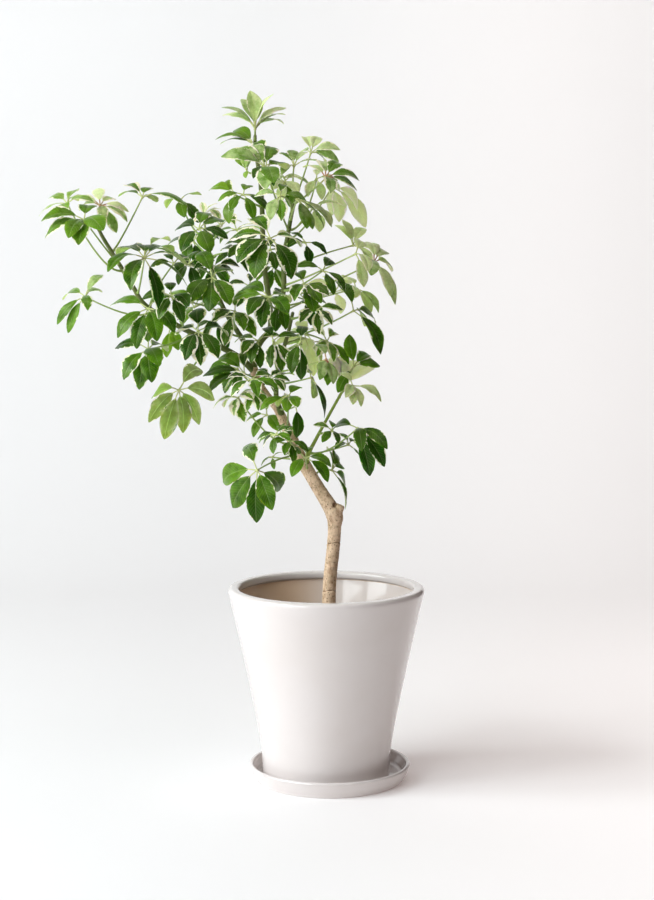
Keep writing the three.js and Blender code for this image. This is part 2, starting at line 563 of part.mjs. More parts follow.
function leafSolid(plan) {
  const steps = plan.petiole.length - 1;
  const radii = plan.petiole.map((_, i) => (
    THREE.MathUtils.lerp(PETIOLE_BASE_RADIUS, PETIOLE_TIP_RADIUS, i / steps)
  ));
  const hub = new THREE.OctahedronGeometry(HUB_RADIUS).translate(plan.hub.x, plan.hub.y, plan.hub.z);
  const petiole = solidFrom(taperedTube(plan.petiole, radii, PETIOLE_SIDES));
  const stalk = petiole.add(solidFrom(hub));
  return plan.leaflets.reduce((whole, leaflet) => whole.add(leafletSolid(leaflet)), stalk);
}

// Points all over a leaf's blades and petiole, close enough that no other leaf passes between them
function leafSamples(plan) {
  const samples = [];
  plan.leaflets.forEach((leaflet) => {
    const rows = Math.ceil(leaflet.length / SAMPLE_STEP);
    const columns = Math.ceil(leaflet.width / 2 / SAMPLE_STEP);
    for (let row = 1; row <= rows; row += 1) {
      const share = row / rows;
      const half = halfWidthAt(share) * leaflet.width;
      for (let column = -columns; column <= columns; column += 1) {
        samples.push(leafletPoint(leaflet, share, (half * column) / columns, 0));
      }
    }
  });
  const petiole = new THREE.CatmullRomCurve3(plan.petiole);
  const length = petiole.getLength();
  for (let run = PETIOLE_BASE_FREE; run < length; run += SAMPLE_STEP) {
    samples.push(petiole.getPointAt(run / length));
  }
  return samples;
}

function halfWidthAt(share) {
  const rows = [[0, 0], [STALK_SHARE, 0], ...OUTLINE, [1, 0]];
  const upper = rows.findIndex(([at]) => at >= share);
  const [[a, halfA], [b, halfB]] = [rows[upper - 1], rows[upper]];
  return THREE.MathUtils.lerp(halfA, halfB, (share - a) / (b - a));
}

// Keeps the samples of what is placed already, sorted into cubes for a quick search
class Crowd {
  constructor() {
    this.cells = new Map();
    this.stems = Object.values(SHOOTS).flatMap((rows) => shootLine(rows, CROWD_STEPS));
  }

  cube(sample) {
    return sample.toArray().map((value) => Math.floor(value / LEAF_CLEARANCE));
  }

  add(samples) {
    samples.forEach((sample) => {
      const key = this.cube(sample).join();
      if (!this.cells.has(key)) this.cells.set(key, []);
      this.cells.get(key).push(sample);
    });
  }

  // What lies in this sample's cube and the 26 around it
  around(sample) {
    const [x, y, z] = this.cube(sample);
    const steps = [-1, 0, 1];
    const keys = steps.flatMap((i) => steps.flatMap((j) => steps.map((k) => [x + i, y + j, z + k].join())));
    return keys.flatMap((key) => this.cells.get(key) ?? []);
  }

  // The least room between these samples and what is placed, up to the clearance
  room(samples) {
    let least = LEAF_CLEARANCE;
    samples.forEach((sample) => {
      this.around(sample).forEach((other) => {
        least = Math.min(least, sample.distanceTo(other));
      });
      this.stems.forEach(({ point, radius }) => {
        const gap = sample.distanceTo(point) - radius;
        least = Math.min(least, (gap * LEAF_CLEARANCE) / STEM_CLEARANCE);
      });
    });
    return least;
  }
}

// Places a leaf at the first depth where it has room, or at the roomiest
function placedPlan(row, crowd, sunk) {
  let best = null;
  for (const shift of DEPTH_SHIFTS) {
    const plan = leafPlan(row, shift, sunk);
    const samples = leafSamples(plan);
    const room = crowd.room(samples);
    if (!best || room > best.room) best = { plan, samples, room };
    if (room >= LEAF_CLEARANCE) break;
  }
  crowd.add(best.samples);
  return best.plan;
}

function stem(youngPlans) {
  const { trunk, ...shoots } = SHOOTS;
  let whole = shootSolid(trunk, STEM_SIDES).add(shootSolid(CUT_STUB, STEM_SIDES));
  Object.values(shoots).forEach((rows) => { whole = whole.add(shootSolid(rows, SHOOT_SIDES)); });
  youngPlans.forEach((plan) => { whole = whole.add(leafSolid(plan)); });
  return whole;
}

function named(name, solid, look) {
  const mesh = new THREE.Mesh(geometryFrom(solid), material(look));
  mesh.name = name;
  return mesh;
}

const crowd = new Crowd();
const leafPlans = LEAVES.map((row) => placedPlan(row, crowd, false));
const youngPlans = YOUNG_LEAVES.map((row) => placedPlan(row, crowd, true));

const plant = new THREE.Group();
plant.add(named("saucer", saucer(), GLAZE));
plant.add(named("pot", pot(), GLAZE));
plant.add(named("soil", soil(), EARTH));
plant.add(named("stem", stem(youngPlans), BARK));
leafPlans.forEach((plan) => plant.add(named(`leaf_${plan.name}`, leafSolid(plan), LEAF_GREEN)));

export default plant;
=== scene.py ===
# Potted umbrella plant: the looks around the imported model.
# Lengths are in millimetres here, and in metres once they reach a mesh.
import math
from collections import namedtuple
from types import SimpleNamespace

import bpy
import numpy as np
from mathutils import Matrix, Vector, noise
from mathutils.kdtree import KDTree


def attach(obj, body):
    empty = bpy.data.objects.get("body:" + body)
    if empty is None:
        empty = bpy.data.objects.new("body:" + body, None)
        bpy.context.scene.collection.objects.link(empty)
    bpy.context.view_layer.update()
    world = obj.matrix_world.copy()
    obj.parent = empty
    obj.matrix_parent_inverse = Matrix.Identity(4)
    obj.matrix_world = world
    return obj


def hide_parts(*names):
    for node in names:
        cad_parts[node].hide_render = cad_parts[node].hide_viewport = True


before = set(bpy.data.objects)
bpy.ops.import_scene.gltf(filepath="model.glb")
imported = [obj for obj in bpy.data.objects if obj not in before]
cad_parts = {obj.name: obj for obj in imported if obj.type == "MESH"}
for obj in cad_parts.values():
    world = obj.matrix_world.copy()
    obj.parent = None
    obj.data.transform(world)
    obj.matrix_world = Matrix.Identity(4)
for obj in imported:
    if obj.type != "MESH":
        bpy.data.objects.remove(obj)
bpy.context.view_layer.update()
MM = 0.001
TURN = 2 * math.pi

# Saucer, as in the part's source
SAUCER_OFFSET_X = 4.8
SAUCER_RIM_RADIUS = 118
SAUCER_BASE_RADIUS = 109
SAUCER_HEIGHT = 24.5
SAUCER_WALL = 6
SAUCER_FLOOR = 5.7
SAUCER_BELLY = (113.5, 10)

# Pot
REST_GAP = 0.3
POT_FOOT_Z = SAUCER_FLOOR + REST_GAP
POT_RIM_Z = 285
POT_RIM_RADIUS = 142.5
POT_FOOT_RADIUS = 93
POT_SIDE = [(96.5, 56), (113.4, 146), (132.7, 235)]
POT_RIM_WIDTH = 16
POT_RIM_BAND = 11
POT_WALL = 10
POT_FLOOR = 12
POT_FOOT_RECESS = 3
POT_FOOT_RING = 14
DRAIN_HOLE_RADIUS = 11
RING_STEPS = 144

# Soil
SOIL_TOP_Z = 217
SOIL_FOOT_Z = 18.4
SOIL_MOUND = 5
SOIL_SIDES = 120
SOIL_RINGS = 46
SOIL_GAP = 1.2
SOIL_CRUMBS = 420

# Stem
TRUNK_X = 3
TRUNK_RADIUS = 9.4
TRUNK_BOTTOM_Z = 120
STEM_VOXEL = 1.15

# The eye in front of the plant
EYE_DISTANCE = 2700
EYE_HEIGHT = 772
EYE_TILT = math.radians(6.08)
EYE_LENS = 75.2

# Leaf parts, as in the part's source
PETIOLE_BASE_RADIUS = 1.7
PETIOLE_TIP_RADIUS = 1.2
PETIOLE_SEAT = 0.5
PETIOLE_SWEEP = 0.28
PETIOLE_LIFT = 0.1
LEAFLET_WIDTH = 0.4
LEAFLET_ARCH = 0.07
LEAFLET_BOW = 0.1
LEAFLET_DROOP = -0.2
ADDED_LEAFLET = 0.88
STALK_SHARE = 0.17
NODE_STEPS = 12
DEPTH_SHIFTS = [0, -10, 10, -20, 20, -30, 30, -40, 40, -52, 52, -64, 64, -78, 78, -92, 92]
INNER_ROOM = 4.2

# Finer parts of a leaf, in the looks only
LEAFLET_SHARES = np.array(
    [[0], [0.03], [0.08], [0.15], [0.24], [0.34], [0.45], [0.56], [0.67], [0.77], [0.86], [0.93], [0.975]])
LEAFLET_SIDES = np.array([[-1, -0.74, -0.44, -0.16, 0, 0.16, 0.44, 0.74, 1]])
MIDDLE_COLUMN = 4
BLADE_FRONT = 0.95
BLADE_BACK = 0.83
BLADE_PEAK = BLADE_FRONT / (BLADE_FRONT + BLADE_BACK)
BLADE_TOP = BLADE_PEAK ** BLADE_FRONT * (1 - BLADE_PEAK) ** BLADE_BACK
BLADE_RISE = 0.55
BLADE_HALF_THICK = 0.24
TOOTH_DEPTH = 0.16
TOOTH_RATE = 34
RIB_HALF = 0.12
RIB_GROOVE = 0.28
RIB_RAISED = 0.55
STALK_RADIUS = 0.95
STALK_SIDES = 7
STALK_STEPS = 6
HUB_RADIUS = 2.3
HUB_SIDES = 10
HUB_ROWS = 6
PETIOLE_SIDES = 9
PETIOLE_STEPS = 18
PETIOLE_FINE = 0.84
PETIOLE_SUNK = 0.55
PETIOLE_FLARE = 1.1
LEAF_CREASE = 75
UPPER, UNDER, STALK = 0, 1, 2
# Painted light: a leaflet that points up is painted paler than its tone, and one that hangs darker, as if lit
# from above
UPWARD_PAINTED_LIGHT = 0.1

# Bark
SMOOTH_STEPS = 6
TUBE_SIDES = 20
WOOD_OF = {"trunk": 1.0, "top": 0.45, "left": 0.2, "inner": 0.25, "middle": 0.3, "centre": 0.25, "low": 0.0}
WOOD_FADE = 0.45
SCAR_STEP = 17
SCAR_DEPTH = 0.4
RIDGE_DEPTH = 0.34
SMOOTHED_AWAY = 0.75
# Knots: x and z as seen, reach, height
KNOTS = [(5, 388, 5.0, 1.6), (0, 424, 4.0, 1.6), (12, 405, 2.4, -2.6), (3, 425, 2.0, -1.4),
         (-60, 521, 3.4, 1.4), (-88, 566, 3.2, 1.4)]
# Rings around the trunk: height, depth
RINGS = [(279, 0.7), (320, 0.35), (349, 0.65), (372, 0.25)]
RING_HALF = 1.1
SWELL_BELOW = 2.4
SWELL_HALF = 1.8
POINTS_AT_ONCE = 4000


# A point of the crown, from where the eye sees it on the upright plane through the pot's axis, and its depth
def seen(x, z, y):
    scale = 1 + y / EYE_DISTANCE
    return np.array([x * scale, y, EYE_HEIGHT + (z - EYE_HEIGHT) * scale])


# Shoots: x and z as seen, depth y, radius
SHOOTS = {
    "trunk": [
        [TRUNK_X, TRUNK_BOTTOM_Z, 0, TRUNK_RADIUS], [TRUNK_X, SOIL_TOP_Z, 0, TRUNK_RADIUS],
        [5, 290, 0, 9], [10, 340, 0, 8.8], [12, 372, 1, 9.2],
        [12, 389, 1, 11.6], [4, 404, 2, 10.2], [-6, 420, 3, 9], [-17, 438, 4, 8.6], [-28, 457, 4, 8.5],
        [-38, 475, 4, 8.3], [-48, 497, 5, 8], [-57, 515, 6, 7], [-63, 530, 7, 6.2], [-72, 547, 8, 5.6],
        [-85, 562, 9, 5.4], [-97, 580, 10, 5.4], [-104, 600, 10, 5.8],
    ],
    "left": [
        [-103, 597, 10, 4.8], [-125, 618, 4, 4.2], [-165, 640, -6, 3.8], [-210, 662, -14, 3.5],
        [-258, 692, -22, 3.2], [-277, 720, -26, 3], [-298, 755, -30, 2.8], [-318, 788, -34, 2.5],
        [-327, 806, -36, 2.2],
    ],
    "top": [
        [-103, 597, 10, 5], [-105, 620, 14, 4.8], [-93, 643, 20, 4.4], [-80, 660, 24, 4],
        [-82, 700, 30, 3.7], [-90, 760, 32, 3.5], [-91, 815, 30, 3.3], [-93, 860, 26, 3],
        [-97, 890, 22, 2.8], [-101, 918, 18, 2.5], [-101, 933, 17, 2.2],
    ],
    "middle": [
        [-80, 659, 24, 3.8], [-70, 690, 8, 3.6], [-61, 715, -4, 3.4], [-61, 760, -10, 3.2],
        [-56, 787, -10, 3], [-50, 820, -6, 2.8], [-45, 842, 0, 2.5], [-41, 858, 4, 2.2],
    ],
    "inner": [
        [-104, 618, 14, 4], [-124, 650, 34, 3.5], [-148, 690, 48, 3.2], [-162, 735, 54, 3],
        [-168, 775, 56, 2.7], [-173, 802, 56, 2.3],
    ],
    "centre": [
        [-64, 534, 6, 4], [-72, 562, -12, 3.4], [-70, 590, -20, 3.1], [-63, 625, -24, 2.8],
        [-55, 652, -26, 2.5], [-48, 682, -28, 2.2],
    ],
    "low": [
        [-30, 460, 4, 3.8], [-26, 478, -8, 2.9], [-15, 500, -13, 2.4], [0, 528, -14, 2.1],
        [15, 555, -12, 2], [24, 570, -10, 1.9], [34, 577, -9, 1.8],
    ],
}
CUT_STUB = [[7, 386, 1, 8], [17, 397, 0, 7.4], [20, 404, 0, 6.6]]

# Ways that a leaf's upper side faces
FRONT = [0, -1.1, 1.5]
FRONT_LEFT = [-0.7, -0.9, 1.4]
FRONT_RIGHT = [0.7, -0.9, 1.4]
UP = [0, -0.3, 1.8]
UP_LEFT = [-0.6, -0.3, 1.6]
UP_RIGHT = [0.6, -0.3, 1.6]
BACK = [0, 1.4, 1.2]
BACK_RIGHT = [0.7, 1.1, 1.2]

# Leaves whose leaflets are broader or more slender than the usual one
BREADTH = {
    "a02": 1.15, "a05": 0.94, "a06": 0.75, "a08": 1.1, "a10": 1.2, "a12": 1.15, "a13": 1.25, "b07": 1.2,
    "b11": 1.12, "c13": 1.1, "e01": 0.94, "e04": 0.84, "e05": 0.8,
}

# Compound leaves: name, shoot and height of its node there, hub as seen (x, z) and its depth, leaflet length,
# facing, leaflets added in the widest gaps, and the tips of the leaflets as seen (x, z for each)
LEAVES = [
    ["a01", "left", 744, -369, 837, -60, 44, UP_LEFT, 2, -395, 844, -410, 819, -377, 819, -353, 841, -354,
     855],
    ["a02", "left", 752, -345, 814, -100, 58, FRONT, 0, -407, 813, -402, 788, -354, 778, -318, 799, -368,
     789, -338, 832],
    ["a03", "left", 803, -322, 834, -30, 44, FRONT, 0, -356, 842, -327, 858, -301, 843, -281, 826, -352, 828,
     -283, 812, -299, 796, -318, 811],
    ["a04", "left", 768, -262, 846, 20, 46, UP, 0, -288, 863, -296, 846, -250, 857, -241, 838, -198, 836],
    ["a05", "left", 712, -260, 760, -120, 72, UP, 0, -313, 743, -299, 766, -281, 716, -256, 771, -218, 768,
     -198, 716, -198, 752, -239, 688],
    ["a06", "left", 688, -345, 705, -50, 56, FRONT, 0, -320, 738, -322, 711, -342, 684, -377, 700, -386, 665,
     -371, 653],
    ["a07", "left", 676, -255, 688, -80, 62, FRONT, 1, -311, 692, -300, 646, -273, 631, -243, 642, -218,
     653],
    ["a08", "left", 655, -256, 630, -50, 60, FRONT, 1, -291, 585, -270, 572, -251, 583, -240, 606, -229, 626,
     -252, 656],
    ["a10", "left", 642, -184, 656, -100, 54, FRONT, 0, -215, 652, -183, 690, -203, 615, -180, 607, -155,
     617, -140, 650],
    ["a12", "inner", 735, -163, 732, -90, 58, FRONT, 0, -168, 683, -138, 692, -197, 698, -137, 740, -180,
     770],
    ["b07", "middle", 762, -80, 788, -130, 64, FRONT, 0, -138, 784, -127, 752, -103, 732, -49, 731, -108,
     816, -36, 777],
    ["e01", "trunk", 478, -100, 455, -70, 76, [-0.2, -2, 0.6], 0, -152, 437, -137, 400, -101, 378, -78, 396,
     -65, 424, -119, 488],
    ["e04", "left", 640, -212, 571, -30, 70, [0, 2, 0.7], 0, -252, 560, -256, 525, -234, 500, -207, 508,
     -183, 522, -160, 557, -179, 599],
    ["e05", "low", 482, 45, 516, -40, 66, [-0.3, -1.2, 1.5], 0, 5, 506, 51, 484, 64, 446, 88, 484, 85, 460],
    ["e03", "trunk", 458, -30, 473, -60, 46, FRONT, 0, -50, 445, 2, 437, 7, 460, -61, 477, -25, 486],
    ["e07", "trunk", 444, 8, 455, 40, 60, [1.6, -0.4, 0.8], 0, 20, 461, 0, 485, 27, 420, 27, 397, 13, 479],
    ["e06", "low", 480, 32, 492, 0, 36, UP_RIGHT, 1, 52, 460, 42, 495, 17, 509],
    ["a11", "inner", 700, -189, 690, 45, 54, UP_LEFT, 2, -207, 664, -225, 712, -160, 705],
    ["a13", "inner", 797, -182, 801, -20, 50, FRONT, 1, -207, 768, -166, 768, -215, 799, -168, 824, -143,
     813],
    ["a15", "inner", 765, -190, 785, 95, 48, UP_LEFT, 1, -198, 751, -178, 743, -230, 775, -160, 795],
    ["a16", "inner", 790, -208, 842, 60, 44, UP_LEFT, 1, -182, 810, -228, 831, -202, 818],
    ["b01", "top", 929, -101, 942, 10, 56, UP, 0, -148, 974, -147, 963, -120, 984, -108, 996, -73, 991, -57,
     973, -57, 961, -60, 951],
    ["b02", "top", 905, -103, 920, -20, 50, UP_LEFT, 0, -131, 941, -140, 931, -158, 927, -151, 921, -89,
     908],
    ["b03", "middle", 800, -86, 886, -40, 62, FRONT, 0, -150, 903, -133, 911, -113, 916, -78, 918, -58, 885,
     -86, 857, -74, 866],
    ["b05", "top", 835, -130, 850, -10, 46, FRONT_LEFT, 0, -168, 857, -150, 864, -139, 809],
    ["b06", "top", 845, -118, 850, -60, 42, FRONT, 2, -103, 815, -79, 825, -112, 860],
    ["b09", "middle", 848, -60, 874, 60, 46, UP, 2, -75, 862, -20, 857, -52, 835],
    ["b10", "middle", 825, -66, 848, -70, 42, FRONT, 3, -80, 815, -64, 812],
    ["b11", "middle", 690, -83, 704, -110, 54, FRONT, 0, -138, 697, -112, 680, -93, 662, -55, 680, -120, 718,
     -52, 697],
    ["c01", "middle", 856, -46, 890, 30, 44, UP, 1, -66, 908, -50, 914, -20, 910, -3, 892],
    ["c02", "middle", 850, -22, 909, 90, 44, [0.3, -1.6, 1.2], 0, -32, 930, -10, 931, 20, 913, 18, 896, -2,
     893, -40, 902],
    ["c03", "middle", 838, -1, 873, -30, 54, FRONT_RIGHT, 0, -33, 888, -8, 897, 22, 893, 48, 871, 44, 855,
     18, 856, 6, 852],
    ["c04", "middle", 786, 8, 861, 70, 60, BACK_RIGHT, 0, 7, 820, 18, 811, 46, 828, 56, 803],
    ["c05", "middle", 815, -42, 843, -90, 50, UP_RIGHT, 0, -28, 801, -20, 800, -4, 802, 9, 805],
    ["c06", "middle", 742, 38, 778, 90, 46, FRONT_RIGHT, 0, 12, 808, 24, 816, 55, 802, 64, 750, 79, 767],
    ["c16", "middle", 722, 42, 766, -50, 50, FRONT_RIGHT, 0, 53, 718, 61, 742, 50, 784],
    ["c07", "middle", 704, 68, 754, 10, 60, FRONT_RIGHT, 0, 64, 735, 98, 693, 93, 707, 94, 742, 86, 768, 62,
     782],
    ["c09", "middle", 690, 42, 717, 40, 50, FRONT_RIGHT, 0, 36, 702, 75, 682, 63, 679, 28, 729],
    ["c10", "centre", 650, 39, 685, -30, 60, FRONT_RIGHT, 0, 13, 728, 70, 668, 78, 622, 54, 663],
    ["c11", "middle", 716, -5, 742, -70, 44, FRONT_RIGHT, 1, 27, 713, 10, 707, 8, 757],
    ["c13", "middle", 708, -32, 722, -112, 46, FRONT, 1, -7, 697, -17, 683, -46, 700, 4, 706],
    ["c14", "centre", 676, -14, 686, -60, 42, FRONT, 1, -10, 652, 24, 686, 8, 664, -38, 668],
    ["c17", "centre", 655, 1, 641, 0, 46, FRONT_RIGHT, 0, 14, 652, 32, 608, -26, 659, -13, 620, 11, 613],
    ["c18", "middle", 674, 12, 712, 68, 48, BACK_RIGHT, 2, 40, 700, 20, 680, 36, 730],
    ["d01", "low", 570, 39, 604, -20, 50, [0.2, -1.8, 1], 1, 33, 651, 62, 621, 77, 606],
    ["d02", "low", 562, 25, 574, 50, 62, BACK, 0, 7, 618, 21, 621, 46, 613, 70, 606],
    ["d03", "low", 574, 38, 577, -60, 42, FRONT_RIGHT, 1, 51, 548, 80, 555, 28, 561, 38, 550],
    ["d04", "centre", 600, 0, 615, -100, 44, FRONT_RIGHT, 0, -9, 586, 2, 578, -15, 637, 10, 580],
    ["d05", "centre", 640, -30, 645, 20, 52, BACK, 2, -28, 622, -18, 591],
    ["d06", "centre", 628, -37, 640, -110, 52, FRONT, 1, -50, 595, -36, 586],
    ["d07", "centre", 582, -22, 589, -60, 58, [1.6, -0.8, 1], 0, -20, 560, -2, 530, -42, 600],
    ["d08", "trunk", 516, -55, 560, -80, 44, FRONT, 0, -41, 545, -57, 540, -70, 548, -96, 543, -36, 575],
    ["d09", "centre", 572, -75, 583, 60, 44, UP_LEFT, 1, -60, 570, -112, 577, -101, 562, -113, 592],
    ["d10", "trunk", 588, -118, 595, -60, 58, FRONT_LEFT, 0, -172, 567, -145, 568, -155, 617, -178, 591,
     -112, 632],
    ["d11", "trunk", 497, -127, 560, -10, 42, UP_LEFT, 1, -163, 544, -147, 546, -133, 534, -105, 558, -118,
     525],
    ["d12", "trunk", 524, -86, 535, 50, 46, FRONT_LEFT, 2, -105, 502, -68, 512],
]
YOUNG_LEAVES = [
    ["a09", "left", 668, -224, 660, 30, 44, FRONT, 0, -230, 618, -212, 628],
    ["a14", "inner", 801, -175, 818, 50, 26, UP, 1, -178, 840, -155, 838, -150, 830],
    ["b04", "top", 878, -113, 882, 30, 28, UP_LEFT, 1, -130, 900, -118, 908, -100, 902],
    ["c08", "middle", 780, -30, 782, -40, 36, FRONT_RIGHT, 2, -25, 750, 2, 766],
    ["d13", "trunk", 507, -66, 507, -30, 34, FRONT_LEFT, 2, -98, 495],
    ["e02", "trunk", 475, -78, 474, 20, 24, UP_LEFT, 2, -92, 464, -75, 456],
]

# Small leaves deeper in the crown, in the same order of values
INNER_LEAVES = [
    ["x03", "inner", 660, -131, 684, -90, 50, FRONT, 1, -164, 668, -146, 634, -101, 648, -118, 655],
    ["x04", "middle", 672, -66, 698, -50, 46, FRONT, 2, -73, 655, -58, 658],
    ["x05", "top", 655, -98, 642, -50, 44, FRONT, 1, -132, 640, -122, 622, -95, 602, -108, 610],
    ["x06", "centre", 600, -76, 642, -45, 46, FRONT, 2, -80, 603, -50, 604, -64, 598],
    ["x07", "centre", 570, -82, 586, -50, 34, FRONT, 2, -60, 571, -66, 598, -98, 600],
    ["x09", "trunk", 556, -108, 586, -50, 44, FRONT, 2, -98, 562, -69, 569, -75, 590],
    ["x11", "centre", 545, -44, 548, -70, 46, FRONT_RIGHT, 0, -43, 502, -60, 560],
    ["x12", "trunk", 488, -52, 497, -50, 34, FRONT, 2, -27, 481, -47, 465, -60, 476],
    ["x16", "inner", 780, -150, 806, 30, 34, UP, 1, -172, 808, -120, 812, -128, 822, -165, 830],
    ["x17", "inner", 725, -158, 748, -20, 38, FRONT_RIGHT, 1, -124, 748, -132, 736, -138, 730],
    ["x19", "left", 730, -256, 772, -60, 56, UP, 1, -203, 753, -222, 783, -300, 760],
    ["x20", "left", 690, -218, 752, 10, 40, FRONT, 2, -181, 743, -205, 735, -196, 760],
    ["x22", "inner", 680, -192, 697, -30, 36, FRONT_LEFT, 2, -213, 671, -222, 700, -205, 707],
    ["x23", "middle", 720, -75, 748, 20, 42, FRONT, 2, -84, 713, -62, 716, -100, 728, -50, 740],
    ["x28", "top", 872, -88, 890, -30, 34, FRONT, 2, -85, 858, -75, 862, -104, 872],
    ["x29", "middle", 838, -60, 868, -30, 40, FRONT, 1, -52, 832, -66, 838, -40, 850, -35, 870, -78, 856],
    ["x30", "inner", 760, -128, 768, 30, 42, FRONT, 2, -112, 742, -150, 770, -108, 790],
    ["x31", "top", 760, -110, 776, 70, 46, FRONT, 3, -140, 760, -90, 748],
    ["x32", "inner", 650, -160, 668, 30, 44, FRONT_LEFT, 3, -176, 636, -140, 632],
    ["x33", "middle", 700, -30, 700, 10, 46, FRONT_RIGHT, 2, -22, 664, -8, 672, 4, 690],
    ["x34", "left", 660, -222, 706, -20, 48, FRONT, 2, -240, 672, -205, 668, -196, 690],
    ["x35", "centre", 620, -20, 640, 30, 48, FRONT_RIGHT, 2, -12, 606, 12, 624, -30, 606],
    ["x36", "middle", 800, -20, 830, 20, 50, UP_RIGHT, 2, 8, 808, 24, 836, -10, 796],
    ["x37", "top", 800, -128, 800, 60, 40, UP_LEFT, 2, -160, 790, -118, 772, -140, 820],
    ["x40", "inner", 700, -165, 748, 20, 44, FRONT, 2, -190, 722, -165, 712, -140, 722],
    ["x41", "inner", 735, -196, 752, 40, 42, FRONT_LEFT, 2, -212, 722, -186, 716],
    ["x42", "top", 680, -110, 720, 60, 44, FRONT, 2, -128, 690, -105, 684],
    ["x43", "trunk", 580, -128, 602, 20, 44, [-0.4, -1.6, 0.9], 0, -165, 578, -146, 566, -128, 566, -170,
     598],
    ["x44", "trunk", 555, -104, 566, -30, 34, FRONT, 1, -114, 540, -98, 542, -84, 548],
    ["x45", "trunk", 500, -74, 506, -40, 32, FRONT_LEFT, 2, -92, 488, -76, 478, -100, 500],
    ["x46", "middle", 800, -14, 872, -10, 36, FRONT, 2, -26, 846, -6, 843],
    ["x47", "middle", 770, -80, 772, -60, 38, FRONT, 1, -90, 745, -72, 744],
    ["x49", "low", 510, 8, 512, -30, 32, FRONT_RIGHT, 2, -6, 496, 18, 494],
]


Plan = namedtuple("Plan", "name hub tips leaflets node face")
Leaflet = namedtuple("Leaflet", "along across up length lift")


def unit(vector):
    return vector / np.linalg.norm(vector)


# Points and radii along a shoot, in steps of each straight stretch between its rows
def shoot_line(rows):
    line = []
    for first, last in zip(rows, rows[1:]):
        start, end = seen(*first[:3]), seen(*last[:3])
        for i in range(1 if line else 0, NODE_STEPS + 1):
            share = i / NODE_STEPS
            line.append((start + (end - start) * share, first[3] + (last[3] - first[3]) * share))
    return line


# Where a petiole leaves its shoot: the point of the centre line at a height, its radius and direction
def node_on(shoot, height):
    line = shoot_line(SHOOTS[shoot])
    best = min(range(1, len(line) - 1), key=lambda i: abs(line[i][0][2] - height))
    return line[best][0], line[best][1], unit(line[best + 1][0] - line[best - 1][0])


# The petiole's centre line, which leaves the shoot squarely and sweeps to the hub
def petiole_curve(node, hub):
    point, radius, tangent = node
    away = hub - point
    out = unit(away - tangent * away.dot(tangent))
    start = point + out * (radius + PETIOLE_SEAT)
    bend = start + (out * PETIOLE_SWEEP + tangent * PETIOLE_LIFT) * np.linalg.norm(away)
    curve = [point + out * radius * PETIOLE_SUNK]
    for i in range(PETIOLE_STEPS + 1):
        t = i / PETIOLE_STEPS
        curve.append(start * (1 - t) ** 2 + bend * 2 * t * (1 - t) + hub * t ** 2)
    return np.array(curve)


# A leaflet's tip: seen at x, z, its depth follows from its length and the side that suits the leaf's plane
def tip_for(hub, facing, size, x, z):
    level = seen(x, z, hub[1])
    across = math.hypot(level[0] - hub[0], level[2] - hub[2])
    deep = math.sqrt(max(0, size * size - across * across))
    ends = [seen(x, z, hub[1] - deep), seen(x, z, hub[1] + deep)]
    return min(ends, key=lambda point: abs(unit(point - hub).dot(facing) - LEAFLET_DROOP))


# Fills the widest gaps in the ring of leaflets
def with_added_tips(hub, facing, size, tips, count):
    first = unit(np.array([1, 0, 0]) - facing * facing[0])
    second = np.cross(facing, first)
    for _ in range(count):
        arms = [tip - hub for tip in tips]
        angles = sorted(math.atan2(arm.dot(second), arm.dot(first)) for arm in arms)
        after = angles[1:] + [angles[0] + TURN]
        widest = max(zip(angles, after), key=lambda pair: pair[1] - pair[0])
        middle = (widest[0] + widest[1]) / 2
        arm = first * math.cos(middle) + second * math.sin(middle) + facing * LEAFLET_DROOP
        tips = tips + [hub + unit(arm) * size * ADDED_LEAFLET]
    return tips


# All that places one leaf: its hub, the ways its leaflets run and its petiole
def leaf_plan(row, shift):
    name, shoot, height, x, z, depth, size, facing, added, *ends = row
    hub = seen(x, z, depth + shift)
    face = unit(np.array(facing, dtype=float))
    tips = [tip_for(hub, face, size, *end) for end in zip(ends[::2], ends[1::2])]
    tips = with_added_tips(hub, face, size, tips, added)
    leaflets = []
    for tip in tips:
        length = np.linalg.norm(tip - hub)
        along = (tip - hub) / length
        up = unit(face - along * face.dot(along))
        lift = np.array([0, 0, 1]) - along * along[2]
        leaflets.append(Leaflet(along, np.cross(along, up), up, length, lift))
    return Plan(name, hub, tips, leaflets, node_on(shoot, height), face)


def vertex_vectors(mesh, kind):
    flat = np.empty(len(mesh.vertices) * 3)
    mesh.vertices.foreach_get(kind, flat)
    return flat.reshape(-1, 3)


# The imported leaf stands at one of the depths: the one whose tips lie on its corners
def packed_plan(row, node):
    corners = vertex_vectors(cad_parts[node].data, "co") / MM

    def misses(plan):
        return sum(np.linalg.norm(corners - tip, axis=1).min() for tip in plan.tips)

    return min((leaf_plan(row, shift) for shift in DEPTH_SHIFTS), key=misses)


# Points on a leaf's blades, for the room between leaves
def blade_points(plan):
    rng = np.random.default_rng(seed_of(plan.name))
    points = []
    for leaflet in plan.leaflets:
        surface = blade_surface(leaflet.length, leaflet_habit(rng, leaflet.length, 0, plan.name))
        points.append(placed(plan.hub, leaflet, *surface))
    return np.concatenate(points)


# Takes the first depth that leaves room for an inner leaf, or the roomiest
def inner_plan(row, taken):
    tree = KDTree(len(taken))
    for i, point in enumerate(taken):
        tree.insert(point, i)
    tree.balance()
    best_room = -1
    for shift in DEPTH_SHIFTS:
        plan = leaf_plan(row, shift)
        points = blade_points(plan)
        room = min(tree.find(point)[2] for point in points[::2])
        if room > best_room:
            best_room, best = room, (plan, points)
        if room >= INNER_ROOM:
            break
    return best


# Meshes

def add_object(name, data):
    thing = bpy.data.objects.new(name, data)
    bpy.context.scene.collection.objects.link(thing)
    return thing


def add_layer(mesh, name, values, kind="FLOAT"):
    layer = mesh.attributes.new(name, kind, "POINT")
    layer.data.foreach_set("vector" if kind == "FLOAT_VECTOR" else "value", np.ravel(values))


